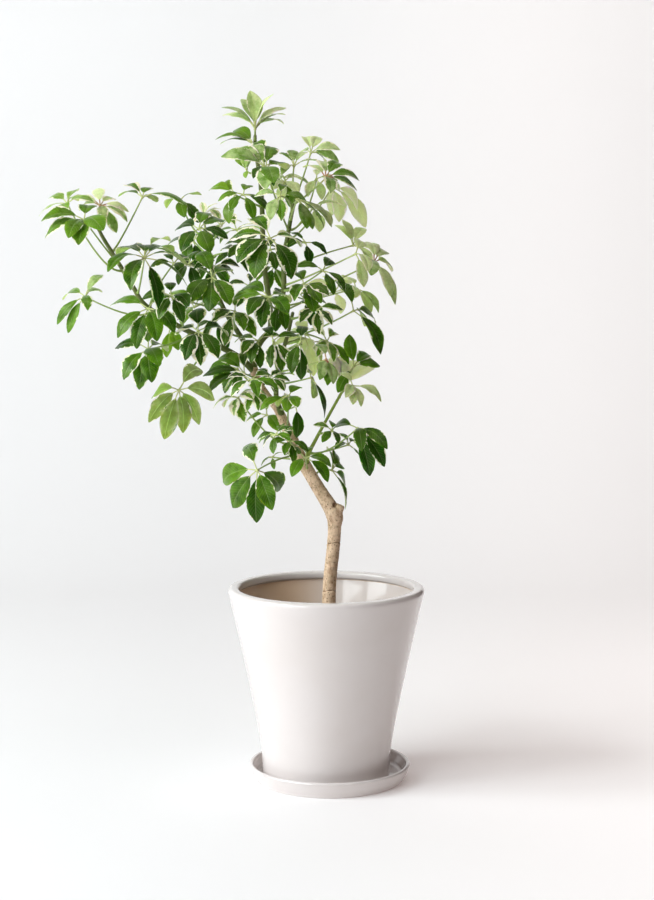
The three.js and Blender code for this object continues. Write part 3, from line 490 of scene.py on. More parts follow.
# Rings of points around a centre line, carried along it without turning
def tube_rings(line, radii, sides):
    across = np.array([0.0, 1.0, 0.0])
    turns = np.arange(sides) * TURN / sides
    rings = []
    for i, point in enumerate(line):
        tangent = unit(line[min(i + 1, len(line) - 1)] - line[max(i - 1, 0)])
        across = unit(across - tangent * across.dot(tangent))
        other = np.cross(tangent, across)
        ring = np.outer(np.cos(turns), across) + np.outer(np.sin(turns), other)
        rings.append(point + ring * radii[i])
    return np.concatenate(rings)


def ring_faces(rings, sides):
    faces = []
    for i in range(rings - 1):
        for k in range(sides):
            a = i * sides + k
            b = i * sides + (k + 1) % sides
            faces.append((a, b, b + sides, a + sides))
    return faces


def closed_faces(rings, sides):
    last = (rings - 1) * sides
    return ring_faces(rings, sides) + [tuple(range(sides - 1, -1, -1)), tuple(range(last, last + sides))]


class Shape:
    """Points and faces of one object, with a value of each attribute for every point."""

    def __init__(self, *attributes):
        self.points, self.faces, self.slots = [], [], []
        self.values = {name: [] for name in attributes}
        self.count = 0

    def add(self, points, faces, slot=0, **values):
        self.faces += [tuple(self.count + i for i in face) for face in faces]
        self.slots += slot if isinstance(slot, list) else [slot] * len(faces)
        self.points.append(np.asarray(points, dtype=float))
        self.count += len(points)
        for name, stored in self.values.items():
            value = np.asarray(values.get(name, 0.0), dtype=float)
            stored.append(np.broadcast_to(value, (len(points),)))

    def add_tube(self, line, radii, sides, slot=0, leaf_u=0.0, **values):
        faces = closed_faces(len(line), sides)
        self.add(tube_rings(line, radii, sides), faces, slot, leaf_u=np.repeat(leaf_u, sides), **values)

    def build(self, name, materials, crease=60):
        mesh = bpy.data.meshes.new(name)
        points = np.concatenate(self.points) * MM
        mesh.from_pydata(points.tolist(), [], self.faces)
        for material in materials:
            mesh.materials.append(material)
        mesh.polygons.foreach_set("material_index", self.slots)
        for layer, stored in self.values.items():
            add_layer(mesh, layer, np.concatenate(stored))
        mesh.shade_smooth()
        mesh.set_sharp_from_angle(angle=math.radians(crease))
        mesh.update()
        return add_object(name, mesh)


# A smooth curve through knots
def smooth_curve(knots, steps):
    knots = [2 * knots[0] - knots[1]] + knots + [2 * knots[-1] - knots[-2]]
    line = []
    for a, b, c, d in zip(knots, knots[1:], knots[2:], knots[3:]):
        for k in range(steps):
            t = k / steps
            line.append(0.5 * (2 * b + (c - a) * t + (2 * a - 5 * b + 4 * c - d) * t ** 2
                               + (3 * b - a - 3 * c + d) * t ** 3))
    return np.array(line + [knots[-2]])


# Leaves

# How leaflets differ from each other: the least and the most, and bow and curl by their length
HABITS = {
    "cup": (0.0, 0.3), "fold": (0.05, 0.34), "wave": (0.02, 0.1), "waves": (1.3, 2.6), "start": (0, TURN),
    "twist": (-0.28, 0.28), "bow": (-0.035, 0.035), "curl": (-0.015, 0.06), "lean": (-0.08, 0.08),
    "width": (0.94, 1.08),
}
SMALL_TEETH = 0.3


def seed_of(name):
    return sum((i + 3) * ord(letter) * 17 for i, letter in enumerate(name))


def leaflet_habit(rng, length, teeth, name):
    habit = SimpleNamespace(**{key: rng.uniform(*span) for key, span in HABITS.items()})
    habit.bow *= length
    habit.curl *= length
    habit.width *= BREADTH.get(name, 1)
    habit.teeth = max(teeth, SMALL_TEETH * (rng.uniform() > 0.5)) * rng.uniform(0.6, 1)
    habit.tooth = rng.uniform(0, TURN)
    return habit


def arch_at(share, length):
    return 4 * LEAFLET_ARCH * length * share * (1 - share)


# Length, side and height of the blade's middle surface over its grid of shares and sides
def blade_surface(length, habit):
    shares, sides = LEAFLET_SHARES, LEAFLET_SIDES
    whole = STALK_SHARE + (1 - STALK_SHARE) * shares
    outline = shares ** BLADE_FRONT * (1 - shares) ** BLADE_BACK / BLADE_TOP
    half = 0.5 * LEAFLET_WIDTH * length * habit.width * outline
    half = np.maximum(half, 0.6 * (1 - shares))
    notch = np.clip((shares - 0.5) / 0.4, 0, 1) * habit.teeth
    half = half * (1 - TOOTH_DEPTH * notch * (1 + np.sin(habit.tooth + shares * TOOTH_RATE + np.sign(sides))))
    side = half * sides * (1 + habit.lean * sides)
    base = arch_at(whole, length)
    ripple = np.sin(habit.start + TURN * habit.waves * shares + sides * 1.7)
    rise = base - habit.cup * half * sides ** 2 + habit.fold * half * np.abs(sides)
    rise = rise + habit.wave * half * ripple * np.abs(sides)
    rise = rise - habit.curl * np.clip(shares - 0.45, 0, 1) ** 2 * 3.3 + BLADE_RISE
    turn = habit.twist * shares
    lift = rise - base
    turned_side = side * np.cos(turn) - lift * np.sin(turn) + habit.bow * 4 * shares * (1 - shares)
    turned_rise = base + side * np.sin(turn) + lift * np.cos(turn)
    return whole * length + 0 * sides, turned_side, turned_rise


def placed(hub, leaflet, run, side, rise):
    shape = run.shape + (1,)
    share = np.clip(run / leaflet.length, 0, 1)
    bow = LEAFLET_BOW * leaflet.length * 4 * share * (1 - share)
    points = hub + run.reshape(shape) * leaflet.along + side.reshape(shape) * leaflet.across
    points = points + rise.reshape(shape) * leaflet.up + bow.reshape(shape) * leaflet.lift
    return points.reshape(-1, 3)


# Faces of a grid of points that closes in a tip, with its columns taken forwards or backwards
def sheet(grid, tip, near, far):
    columns = range(len(grid[0]) - 1)
    faces = [(a[c + near], a[c + far], b[c + far], b[c + near])
             for a, b in zip(grid, grid[1:]) for c in columns]
    return faces + [(grid[-1][c + near], grid[-1][c + far], tip) for c in columns]


def blade_faces(rows, columns):
    upper = np.arange(rows * columns).reshape(rows, columns)
    under = upper.copy()
    under[:, 1:-1] = rows * columns + np.arange(rows * (columns - 2)).reshape(rows, columns - 2)
    upper, under = upper.tolist(), under.tolist()
    tip = rows * (2 * columns - 2)
    return sheet(upper, tip, 0, 1), sheet(under, tip, 1, 0), [tuple(upper[0][::-1] + under[0][1:-1])]


UPPER_FACES, UNDER_FACES, BLADE_END = blade_faces(LEAFLET_SHARES.size, LEAFLET_SIDES.size)
BLADE_SLOTS = [UPPER] * len(UPPER_FACES) + [UNDER] * len(UNDER_FACES) + [STALK]


# One blade: an upper and an under side that share their rim, with the midrib sunk above and raised below
def add_blade(shape, hub, leaflet, habit, values):
    shares, sides = LEAFLET_SHARES, LEAFLET_SIDES
    run, side, rise = blade_surface(leaflet.length, habit)
    near_rib = np.exp(-(sides / RIB_HALF) ** 2)
    swell = BLADE_HALF_THICK * np.sqrt(np.clip(1 - sides ** 2, 0, 1))
    upper = rise + swell - RIB_GROOVE * near_rib * (1 - 0.5 * shares)
    under = rise - swell - RIB_RAISED * near_rib * (1.05 - shares)
    tip_place = (leaflet.length, side[-1, MIDDLE_COLUMN], rise[-1, MIDDLE_COLUMN] - 0.03 * habit.curl)
    points = [
        placed(hub, leaflet, run, side, upper),
        placed(hub, leaflet, run[:, 1:-1], side[:, 1:-1], under[:, 1:-1]),
        placed(hub, leaflet, *(np.array([value]) for value in tip_place)),
    ]
    grid_u = shares + 0 * sides
    grid_v = sides + 0 * shares
    leaf_u = np.concatenate([grid_u.ravel(), grid_u[:, 1:-1].ravel(), [1]])
    leaf_v = np.concatenate([grid_v.ravel(), grid_v[:, 1:-1].ravel(), [0]])
    faces = UPPER_FACES + UNDER_FACES + BLADE_END
    shape.add(np.concatenate(points), faces, BLADE_SLOTS, leaf_u=leaf_u, leaf_v=leaf_v, **values)


def add_leaflet_stalk(shape, hub, leaflet, values):
    shares = np.linspace(0.0, STALK_SHARE + 0.05, STALK_STEPS)
    rise = arch_at(shares, leaflet.length) + BLADE_RISE * shares / STALK_SHARE * 0.6
    line = placed(hub, leaflet, shares * leaflet.length, 0 * shares, rise)
    radii = np.interp(shares, [0, 0.05, STALK_SHARE, STALK_SHARE + 0.05], [1.2, 0.85, STALK_RADIUS, 0.45])
    shape.add_tube(line, radii, STALK_SIDES, STALK, np.linspace(0.75, 1.1, STALK_STEPS), **values)


# The knob that the leaflets grow from
def add_hub(shape, plan, values):
    first = unit(np.cross(plan.face, np.array([0.3, 0.9, 0.2])))
    second = np.cross(plan.face, first)
    points = [plan.hub - plan.face * HUB_RADIUS * 0.9]
    for i in range(1, HUB_ROWS):
        polar = math.pi * i / HUB_ROWS
        radius = HUB_RADIUS * math.sin(polar)
        level = -HUB_RADIUS * 0.8 * math.cos(polar)
        for k in range(HUB_SIDES):
            turn = TURN * k / HUB_SIDES
            lobe = radius * (1 + 0.12 * math.sin(turn * 5))
            way = first * math.cos(turn) + second * math.sin(turn)
            points.append(plan.hub + plan.face * level + way * lobe)
    points.append(plan.hub + plan.face * HUB_RADIUS * 0.7)
    last = len(points) - 1
    ring = [(k, (k + 1) % HUB_SIDES) for k in range(HUB_SIDES)]
    faces = [(0, 1 + after, 1 + k) for k, after in ring]
    faces += [tuple(1 + i for i in face) for face in ring_faces(HUB_ROWS - 1, HUB_SIDES)]
    faces += [(last, last - HUB_SIDES + k, last - HUB_SIDES + after) for k, after in ring]
    shape.add(points, faces, STALK, leaf_u=1.0, **values)


def run_along(line):
    return np.concatenate([[0], np.cumsum(np.linalg.norm(np.diff(line, axis=0), axis=1))])


# The petiole, which clasps its shoot with a flared foot and swells a little at the hub
def add_petiole(shape, plan, values):
    line = petiole_curve(plan.node, plan.hub)
    run = run_along(line)
    share = run / run[-1]
    radii = (PETIOLE_BASE_RADIUS + (PETIOLE_TIP_RADIUS - PETIOLE_BASE_RADIUS) * share) * PETIOLE_FINE
    radii = radii + PETIOLE_FLARE * np.exp(-run / 5) + 0.5 * np.exp(-(run[-1] - run) / 3)
    shape.add_tube(line, radii, PETIOLE_SIDES, STALK, share * 0.8, **values)


def leaf_object(plan, materials, name):
    rng = np.random.default_rng(seed_of(plan.name))
    tone, cream, lime, blush, teeth = (LOOKS[plan.name] + (0, 0, 0))[:5]
    shape = Shape("leaf_u", "leaf_v", "leaf_tone", "leaf_cream", "leaf_lime", "leaf_seed", "leaf_blush")
    stalk = {"leaf_tone": tone, "leaf_lime": lime, "leaf_blush": blush, "leaf_seed": rng.uniform()}
    add_petiole(shape, plan, stalk)
    add_hub(shape, plan, stalk)

    def varied(value, spread):
        return min(1, max(0, value + rng.normal(0, spread)))

    for leaflet in plan.leaflets:
        habit = leaflet_habit(rng, leaflet.length, teeth, plan.name)
        # painted light: paler where the leaflet points up, darker where it hangs
        values = {"leaf_tone": varied(tone + UPWARD_PAINTED_LIGHT * leaflet.along[2], 0.11)}
        values["leaf_cream"] = varied(cream, 0.12)
        values["leaf_lime"] = varied(lime, 0.05)
        values["leaf_seed"] = rng.uniform()
        values["leaf_blush"] = blush
        add_blade(shape, plan.hub, leaflet, habit, values)
        add_leaflet_stalk(shape, plan.hub, leaflet, values)
    return shape.build(name, materials, LEAF_CREASE)


# Stem

def round_end(line):
    ahead = unit(line[-1][:3] - line[-2][:3])
    radius = line[-1][3]
    caps = []
    for run, share in ((0.45, 0.8), (0.75, 0.35)):
        caps.append(np.append(line[-1][:3] + ahead * radius * run, radius * share))
    return np.vstack([line, caps])


def stem_lines():
    lines = {}
    for name, rows in SHOOTS.items():
        line = smooth_curve([np.append(seen(*row[:3]), row[3]) for row in rows], SMOOTH_STEPS)
        lines[name] = line if name == "trunk" else round_end(line)
    return lines


def joined_tubes(lines):
    shape = Shape()
    stub = np.array([np.append(seen(*row[:3]), row[3]) for row in CUT_STUB])
    for line in [*lines.values(), stub]:
        shape.add_tube(line[:, :3], line[:, 3], TUBE_SIDES)
    return shape.build("stem_tubes", [])


def remeshed(source):
    blend = source.modifiers.new("blend", "REMESH")
    blend.mode = "VOXEL"
    blend.voxel_size = STEM_VOXEL * MM
    soft = source.modifiers.new("soften", "SMOOTH")
    soft.factor = 0.5
    soft.iterations = 4
    graph = bpy.context.evaluated_depsgraph_get()
    mesh = bpy.data.meshes.new_from_object(source.evaluated_get(graph))
    bpy.data.objects.remove(source)
    return mesh


# For each point: the run along the nearest shoot, the way out from its middle, its wood and its radius
def stem_values(lines, points):
    rows = []
    for name, line in lines.items():
        run = run_along(line[:, :3])
        fade = 0 if name == "trunk" else WOOD_FADE
        wood = WOOD_OF[name] * (1 - fade * (run / run[-1]))
        for i in range(len(line)):
            ahead = unit(line[min(i + 1, len(line) - 1)][:3] - line[max(i - 1, 0)][:3])
            rows.append([*line[i], *ahead, run[i], wood[i]])
    rows = np.array(rows)
    nearest = np.empty(len(points), dtype=int)
    for start in range(0, len(points), POINTS_AT_ONCE):
        part = points[start:start + POINTS_AT_ONCE]
        apart = np.linalg.norm(part[:, None, :] - rows[None, :, :3], axis=2) - rows[None, :, 3]
        nearest[start:start + POINTS_AT_ONCE] = apart.argmin(axis=1)
    centres, radii, tangents, runs, wood = np.split(rows[nearest], [3, 4, 7, 8], axis=1)
    off = points - centres
    ahead = (off * tangents).sum(axis=1)
    radial = off - tangents * ahead[:, None]
    radial = radial / np.maximum(np.linalg.norm(radial, axis=1), 1e-6)[:, None]
    return runs[:, 0] + ahead, radial, wood[:, 0], radii[:, 0]


# Ridges that run up the bark, the scars that old leaves left across it, and knots
def bark_relief(points, runs, radial, wood):
    relief = np.zeros(len(points))
    for i, point in enumerate(points):
        around = Vector(radial[i] * 2.6)
        along = Vector((around.x, around.y, around.z + runs[i] * 0.035))
        fine = Vector(point) * 0.33
        ridge = noise.noise(along * 1.7) * 0.7 + noise.noise(fine) * 0.45
        wander = noise.noise(Vector((around.x * 0.5, around.y * 0.5, runs[i] * 0.02))) * 5
        ring = math.sin((runs[i] + wander) * TURN / SCAR_STEP)
        scar = max(0, ring - 0.86) / 0.14
        relief[i] = ridge * RIDGE_DEPTH * (0.35 + wood[i]) - scar * SCAR_DEPTH * (0.3 + 0.7 * wood[i])
        relief[i] += max(0, ring - 0.55) * 0.5 * (0.5 + 0.5 * wood[i])
    sway = np.sin(radial[:, 0] * 2.2 + 1) * 0.8 + np.sin(radial[:, 1] * 5) * 0.5
    for z, depth in RINGS:
        off = points[:, 2] - z - sway
        relief -= depth * np.exp(-(off / RING_HALF) ** 2)
        relief += depth * 0.5 * np.exp(-((off + SWELL_BELOW) / SWELL_HALF) ** 2)
    for x, z, reach, height in KNOTS:
        near = np.linalg.norm((points - seen(x, z, 0))[:, [0, 2]], axis=1)
        front = np.clip(-radial[:, 1] + 0.4, 0, 1)
        relief += height * np.exp(-(near / reach) ** 2) * front
    return relief


def make_stem(material):
    lines = stem_lines()
    mesh = remeshed(joined_tubes(lines))
    points = vertex_vectors(mesh, "co") / MM
    runs, radial, wood, radii = stem_values(lines, points)
    relief = bark_relief(points, runs, radial, wood)
    out = relief + SMOOTHED_AWAY * (0.4 + 0.6 * wood)
    moved = points + vertex_vectors(mesh, "normal") * out[:, None]
    mesh.vertices.foreach_set("co", (moved * MM).ravel())
    add_layer(mesh, "bark_wood", wood)
    add_layer(mesh, "bark_run", runs)
    add_layer(mesh, "bark_around", radial * radii[:, None], "FLOAT_VECTOR")
    add_layer(mesh, "bark_relief", relief)
    mesh.materials.clear()
    mesh.materials.append(material)
    mesh.shade_smooth()
    mesh.update()
    return add_object("stem_bark", mesh)


# Saucer, pot and soil

def arc_points(x, z, radius, start, end, steps):
    angles = np.radians(np.linspace(start, end, steps + 1))
    return [(x + radius * math.cos(a), z + radius * math.sin(a)) for a in angles]


def smooth_wall(levels, steps):
    return [tuple(point) for point in smooth_curve([np.array(level, dtype=float) for level in levels], steps)]


# A round body from a profile of radius and height, a little uneven as thrown clay is
def turned_points(profile, centre_x, wobble, seed):
    points = []
    for radius, z in profile:
        for k in range(RING_STEPS):
            turn = TURN * k / RING_STEPS
            spot = Vector((math.cos(turn) * 1.3, math.sin(turn) * 1.3, z * 0.009 + seed))
            out = radius + wobble * noise.noise(spot) if radius > 1 else radius
            points.append((centre_x + out * math.cos(turn), out * math.sin(turn), z))
    return points


def saucer_profile():
    lip = SAUCER_WALL / 2
    lip_z = SAUCER_HEIGHT - lip
    belly_inner = SAUCER_BELLY[0] - SAUCER_WALL
    profile = [(1, 0.6), (SAUCER_BASE_RADIUS - 12, 0.6), (SAUCER_BASE_RADIUS - 10, 0)]
    profile += arc_points(SAUCER_BASE_RADIUS - 2, 2, 2, -90, -20, 4)
    profile += smooth_wall([(SAUCER_BASE_RADIUS + 0.6, 3), SAUCER_BELLY, (SAUCER_RIM_RADIUS - 0.4, lip_z)], 7)
    profile += arc_points(SAUCER_RIM_RADIUS - lip, lip_z, lip, 8, 172, 10)
    profile += smooth_wall([(SAUCER_RIM_RADIUS - SAUCER_WALL, lip_z - 0.5), (belly_inner, 11.5)], 6)
    profile += arc_points(belly_inner - 5, 10.7, 5, 0, -90, 8)
    return profile + [(SAUCER_BASE_RADIUS - 18, SAUCER_FLOOR), (1, SAUCER_FLOOR)]


def pot_profile():
    rim_inner = POT_RIM_RADIUS - POT_RIM_WIDTH
    band = POT_RIM_Z - POT_RIM_BAND
    ring_inner = POT_FOOT_RADIUS - POT_FOOT_RING
    floor_top = POT_FOOT_Z + POT_FLOOR
    recess = POT_FOOT_Z + POT_FOOT_RECESS
    side = smooth_wall([(POT_FOOT_RADIUS, POT_FOOT_Z + 2), *POT_SIDE, (POT_RIM_RADIUS, POT_RIM_Z - 6)], 9)
    wall = [(radius - POT_WALL, z) for radius, z in reversed(side) if floor_top + 8 < z < band - 5]
    profile = [(DRAIN_HOLE_RADIUS, recess + 1), (DRAIN_HOLE_RADIUS + 1, recess), (ring_inner, recess)]
    profile += [(ring_inner + 2, POT_FOOT_Z + 0.3), (ring_inner + 3, POT_FOOT_Z)]
    profile += arc_points(POT_FOOT_RADIUS - 2, POT_FOOT_Z + 2, 2, -90, -15, 4) + side
    profile += arc_points(POT_RIM_RADIUS - 6, POT_RIM_Z - 6, 6, 12, 90, 8)
    profile += arc_points(rim_inner + 5, POT_RIM_Z - 5, 5, 90, 180, 7)
    profile += arc_points(rim_inner + 3, band + 3, 3, 190, 262, 4) + [(rim_inner + 4.4, band - 1.6)] + wall
    profile += arc_points(wall[-1][0] - 6, floor_top + 6, 6, 0, -90, 6)
    return profile + [(DRAIN_HOLE_RADIUS + 1, floor_top), (DRAIN_HOLE_RADIUS, floor_top - 1)]


def make_saucer(material):
    shape = Shape()
    profile = saucer_profile()
    shape.add(turned_points(profile, SAUCER_OFFSET_X, 0.3, 3.1), closed_faces(len(profile), RING_STEPS))
    return shape.build("saucer_glazed", [material], 50)


def make_pot(material):
    shape = Shape()
    profile = pot_profile()
    profile.append(profile[0])
    shape.add(turned_points(profile, 0, 0.45, 0), ring_faces(len(profile), RING_STEPS))
    return shape.build("pot_glazed", [material], 50)


# Radius and height of the soil where it meets the pot's wall
def soil_wall():
    radii, heights = zip((POT_FOOT_RADIUS, POT_FOOT_Z + 2), *POT_SIDE)
    levels = (SOIL_TOP_Z - 4, 190, 146, 100, 56, 26)
    return [(np.interp(z, heights, radii) - POT_WALL - SOIL_GAP, z) for z in levels]


def soil_height(x, y, radius, edge):
    mound = SOIL_MOUND * (1 - (radius / edge) ** 2)
    spot = Vector((x * 0.035, y * 0.035, 1.7))
    lumps = noise.noise(spot) * 4.2 + noise.noise(spot * 3.3) * 2.1 + noise.noise(spot * 9) * 1.1
    hollow = -2.2 * math.exp(-((edge - radius) / 5) ** 2)
    return SOIL_TOP_Z + mound + lumps * min(1, (edge - radius) / 14 + 0.25) + hollow


def soil_ring(centre_x, radius, z):
    turns = [TURN * k / SOIL_SIDES for k in range(SOIL_SIDES)]
    return [(centre_x + radius * math.cos(turn), radius * math.sin(turn), z) for turn in turns]


# The mound from the trunk to the wall, its side and its flat underside
def make_soil(material):
    shape = Shape("soil_chip")
    wall = soil_wall()
    edge = wall[0][0]
    hole = TRUNK_RADIUS + 1.4
    points = []
    for i in range(SOIL_RINGS + 1):
        radius = hole + (edge - hole) * (i / SOIL_RINGS) ** 0.9
        share = (radius - hole) / (edge - hole)
        ring = soil_ring(TRUNK_X * (1 - share), radius, 0)
        points += [(x, y, soil_height(x, y, radius, edge)) for x, y, _ in ring]
    for radius, z in wall[1:] + [(wall[-1][0] - 8, SOIL_FOOT_Z)]:
        points += soil_ring(0, radius, z)
    points += soil_ring(TRUNK_X, hole, SOIL_FOOT_Z) + points[:SOIL_SIDES]
    shape.add(points, [face[::-1] for face in ring_faces(len(points) // SOIL_SIDES, SOIL_SIDES)])
    add_crumbs(shape, edge)
    return shape.build("soil_mound", [material])


CRUMB_POINTS = [
    (0, 0, -1), (0.72, -0.53, -0.45), (-0.28, -0.85, -0.45), (-0.89, 0, -0.45), (-0.28, 0.85, -0.45),
    (0.72, 0.53, -0.45), (0.28, -0.85, 0.45), (-0.72, -0.53, 0.45), (-0.72, 0.53, 0.45),
    (0.28, 0.85, 0.45), (0.89, 0, 0.45), (0, 0, 1),
]
CRUMB_FACES = [
    (0, 1, 2), (1, 0, 5), (0, 2, 3), (0, 3, 4), (0, 4, 5), (1, 5, 10), (2, 1, 6), (3, 2, 7), (4, 3, 8),
    (5, 4, 9), (1, 10, 6), (2, 6, 7), (3, 7, 8), (4, 8, 9), (5, 9, 10), (6, 10, 11), (7, 6, 11),
    (8, 7, 11), (9, 8, 11), (10, 9, 11),
]


# Lumps of peat and bits of bark that lie half sunk in the soil
def add_crumbs(shape, edge):
    rng = np.random.default_rng(11)
    for _ in range(SOIL_CRUMBS):
        turn = rng.uniform(0, TURN)
        radius = math.sqrt(rng.uniform(0.03, 0.93)) * edge
        x, y = radius * math.cos(turn), radius * math.sin(turn)
        if math.hypot(x - TRUNK_X, y) < TRUNK_RADIUS + 5:
            continue
        size = rng.uniform(0.9, 2.4) * (1.7 if rng.uniform() > 0.9 else 1)
        stretch = rng.uniform(0.6, 1.6, 3) * size
        corners = np.array(CRUMB_POINTS) * rng.uniform(0.75, 1.2, (12, 1)) * stretch
        angle = rng.uniform(0, math.pi)
        cos, sin = math.cos(angle), math.sin(angle)
        spin = np.array([[cos, -sin, 0], [sin, cos, 0], [0, 0, 1]])
        corners = corners @ spin.T + np.array([x, y, soil_height(x, y, radius, edge) + size * 0.3])
        shape.add(corners, CRUMB_FACES, soil_chip=rng.uniform(0.2, 1))


# Materials

# The range that most of a noise pattern's values lie in
NOISE_LOW = 0.3
NOISE_HIGH = 0.7


class Graph:
    """The nodes of one procedural material around its surface shader."""

    def __init__(self, name):
        self.material = bpy.data.materials.new(name)
        self.material.use_nodes = True
        self.nodes = self.material.node_tree.nodes
        self.links = self.material.node_tree.links
        self.nodes.clear()
        output = self.nodes.new("ShaderNodeOutputMaterial")
        self.shader = self.nodes.new("ShaderNodeBsdfPrincipled")
        self.links.new(self.shader.outputs[0], output.inputs["Surface"])
        self.place = self.node("TexCoord", "Object", {})

    def put(self, socket, value):
        if isinstance(value, bpy.types.NodeSocket):
            self.links.new(value, socket)
        else:
            socket.default_value = value

    def node(self, kind, output, inputs, **settings):
        node = self.nodes.new("ShaderNode" + kind)
        for name, value in settings.items():
            setattr(node, name, value)
        for name, value in inputs.items():
            self.put(node.inputs[name], value)
        return node.outputs[output]

    def finish(self, **values):
        for name, value in values.items():
            self.put(self.shader.inputs[name.replace("_", " ")], value)
        return self.material

    def values(self, *names):
        return [self.node("Attribute", "Fac", {}, attribute_name=name) for name in names]

    def scaled(self, scale):
        return self.node("VectorMath", 0, {0: self.place, 1: scale}, operation="MULTIPLY")

    def part(self, index):
        return self.node("SeparateXYZ", index, {0: self.place})

    def joined(self, x, y, z):
        return self.node("CombineXYZ", 0, {0: x, 1: y, 2: z})

    def noise(self, vector, scale, detail=3, roughness=0.55):
        inputs = {"Vector": vector, "Scale": scale, "Detail": detail, "Roughness": roughness}
        return self.node("TexNoise", "Fac", inputs)

    def cells(self, vector, scale):
        return self.node("TexVoronoi", "Distance", {"Vector": vector, "Scale": scale})

    def math(self, operation, first, second=0.0, clamp=False):
        return self.node("Math", 0, {0: first, 1: second}, operation=operation, use_clamp=clamp)

    def plus(self, first, second, clamp=False):
        return self.math("ADD", first, second, clamp)

    def minus(self, first, second):
        return self.math("SUBTRACT", first, second)

    def times(self, first, second):
        return self.math("MULTIPLY", first, second)

    def size(self, value):
        return self.math("ABSOLUTE", value)

    def between(self, value, low, high, out_low=0.0, out_high=1.0):
        inputs = dict(enumerate((value, low, high, out_low, out_high)))
        return self.node("MapRange", 0, inputs, interpolation_type="SMOOTHSTEP")

    def spread(self, pattern, low, high):
        return self.between(pattern, NOISE_LOW, NOISE_HIGH, low, high)

    # Lays colours over a first one, each by its share
    def layers(self, colour, *layers):
        for share, over in layers:
            colour = self.node("Mix", 2, {0: share, 6: colour, 7: over}, data_type="RGBA")
        return colour

    def bump(self, height, strength, distance):
        inputs = {"Strength": strength, "Distance": distance * MM, "Height": height}
        return self.node("Bump", 0, inputs)


def rgb(red, green, blue):
    return (red, green, blue, 1)


DARK_GREEN = rgb(0.012, 0.046, 0.0)
MID_GREEN = rgb(0.095, 0.205, 0.006)
SAGE_GREEN = rgb(0.68, 0.77, 0.38)
LIME_GREEN = rgb(0.26, 0.42, 0.02)
CREAM = rgb(0.90, 0.86, 0.60)
UNDER_DARK = rgb(0.07, 0.085, 0.008)
UNDER_PALE = rgb(0.72, 0.93, 0.37)
GLOSS_TINT = rgb(0.8, 1.0, 0.4)
VEIN_RATE = 78.0


# Fine veins that leave the midrib at a slant
def vein_lines(graph, leaf_u, leaf_v):
    run = graph.minus(leaf_u, graph.times(graph.size(leaf_v), 0.22))
    side = graph.between(graph.math("SINE", graph.times(run, VEIN_RATE)), 0.72, 1.0)
    return side, graph.between(graph.size(leaf_v), 0.075, 0.02)


# Cream patches that reach in from a leaflet's rim
def cream_share(graph, leaf_v, leaf_u, seed, cream):
    spot = graph.joined(graph.times(leaf_u, 3.2), graph.times(leaf_v, 0.9), graph.times(seed, 37.0))
    patch = graph.noise(spot, 1.6, 3, 0.6)
    level = graph.plus(graph.times(graph.size(leaf_v), 0.62), graph.times(patch, 0.75))
    limit = graph.minus(1.10, graph.times(cream, 0.68))
    return graph.between(graph.minus(level, limit), -0.012, 0.03)


def leaf_graph(name, scale):
    graph = Graph(name)
    tone, cream, lime, seed = graph.values("leaf_tone", "leaf_cream", "leaf_lime", "leaf_seed")
    leaf_u, leaf_v = graph.values("leaf_u", "leaf_v")
    side, rib = vein_lines(graph, leaf_u, leaf_v)
    mottle = graph.noise(graph.place, scale, 4, 0.6)
    return graph, tone, lime, side, rib, mottle, cream_share(graph, leaf_v, leaf_u, seed, cream)


def upper_material():
    graph, tone, lime, side, rib, mottle, cream = leaf_graph("leaf_upper", 70)
    fine = graph.noise(graph.place, 420, 3, 0.6)
    shade = graph.plus(tone, graph.spread(mottle, -0.12, 0.12), True)
    colour = graph.layers(
        DARK_GREEN,
        (graph.between(shade, 0.0, 0.5), MID_GREEN), (graph.between(shade, 0.45, 1.0), SAGE_GREEN),
        (lime, LIME_GREEN), (graph.times(side, 0.07), SAGE_GREEN), (graph.times(rib, 0.13), SAGE_GREEN),
        (graph.between(fine, 0.35, 0.75, 0.0, 0.18), DARK_GREEN), (cream, CREAM))
    height = graph.minus(graph.times(mottle, 0.5), graph.times(side, 0.22))
    height = graph.plus(height, graph.times(fine, 0.12))
    return graph.finish(
        Base_Color=colour, Roughness=graph.spread(mottle, 0.26, 0.4), Normal=graph.bump(height, 0.45, 0.7),
        Specular_IOR_Level=0.2, Specular_Tint=GLOSS_TINT, Coat_Weight=0.12, Coat_Roughness=0.3,
        Subsurface_Weight=0.4, Subsurface_Scale=0.002, Subsurface_Radius=(0.55, 1.0, 0.25))


def under_material():
    graph, tone, lime, side, rib, mottle, cream = leaf_graph("leaf_under", 90)
    shade = graph.plus(graph.times(tone, 0.9), graph.spread(mottle, 0.0, 0.12), True)
    colour = graph.layers(
        UNDER_DARK, (shade, UNDER_PALE), (graph.times(lime, 0.7), LIME_GREEN),
        (graph.times(rib, 0.25), UNDER_PALE), (graph.times(side, 0.08), UNDER_DARK), (cream, CREAM))
    height = graph.plus(graph.times(mottle, 0.4), graph.times(side, 0.5))
    return graph.finish(
        Base_Color=colour, Roughness=graph.spread(mottle, 0.5, 0.62), Normal=graph.bump(height, 0.4, 0.6),
        Specular_IOR_Level=0.4, Subsurface_Weight=0.8, Subsurface_Scale=0.006,
        Subsurface_Radius=(0.6, 1.0, 0.3))


STALK_GREEN = rgb(0.20, 0.33, 0.055)
STALK_LIGHT = rgb(0.42, 0.52, 0.16)
STALK_BLUSH = rgb(0.42, 0.12, 0.07)
STALK_PALE = rgb(0.66, 0.68, 0.30)


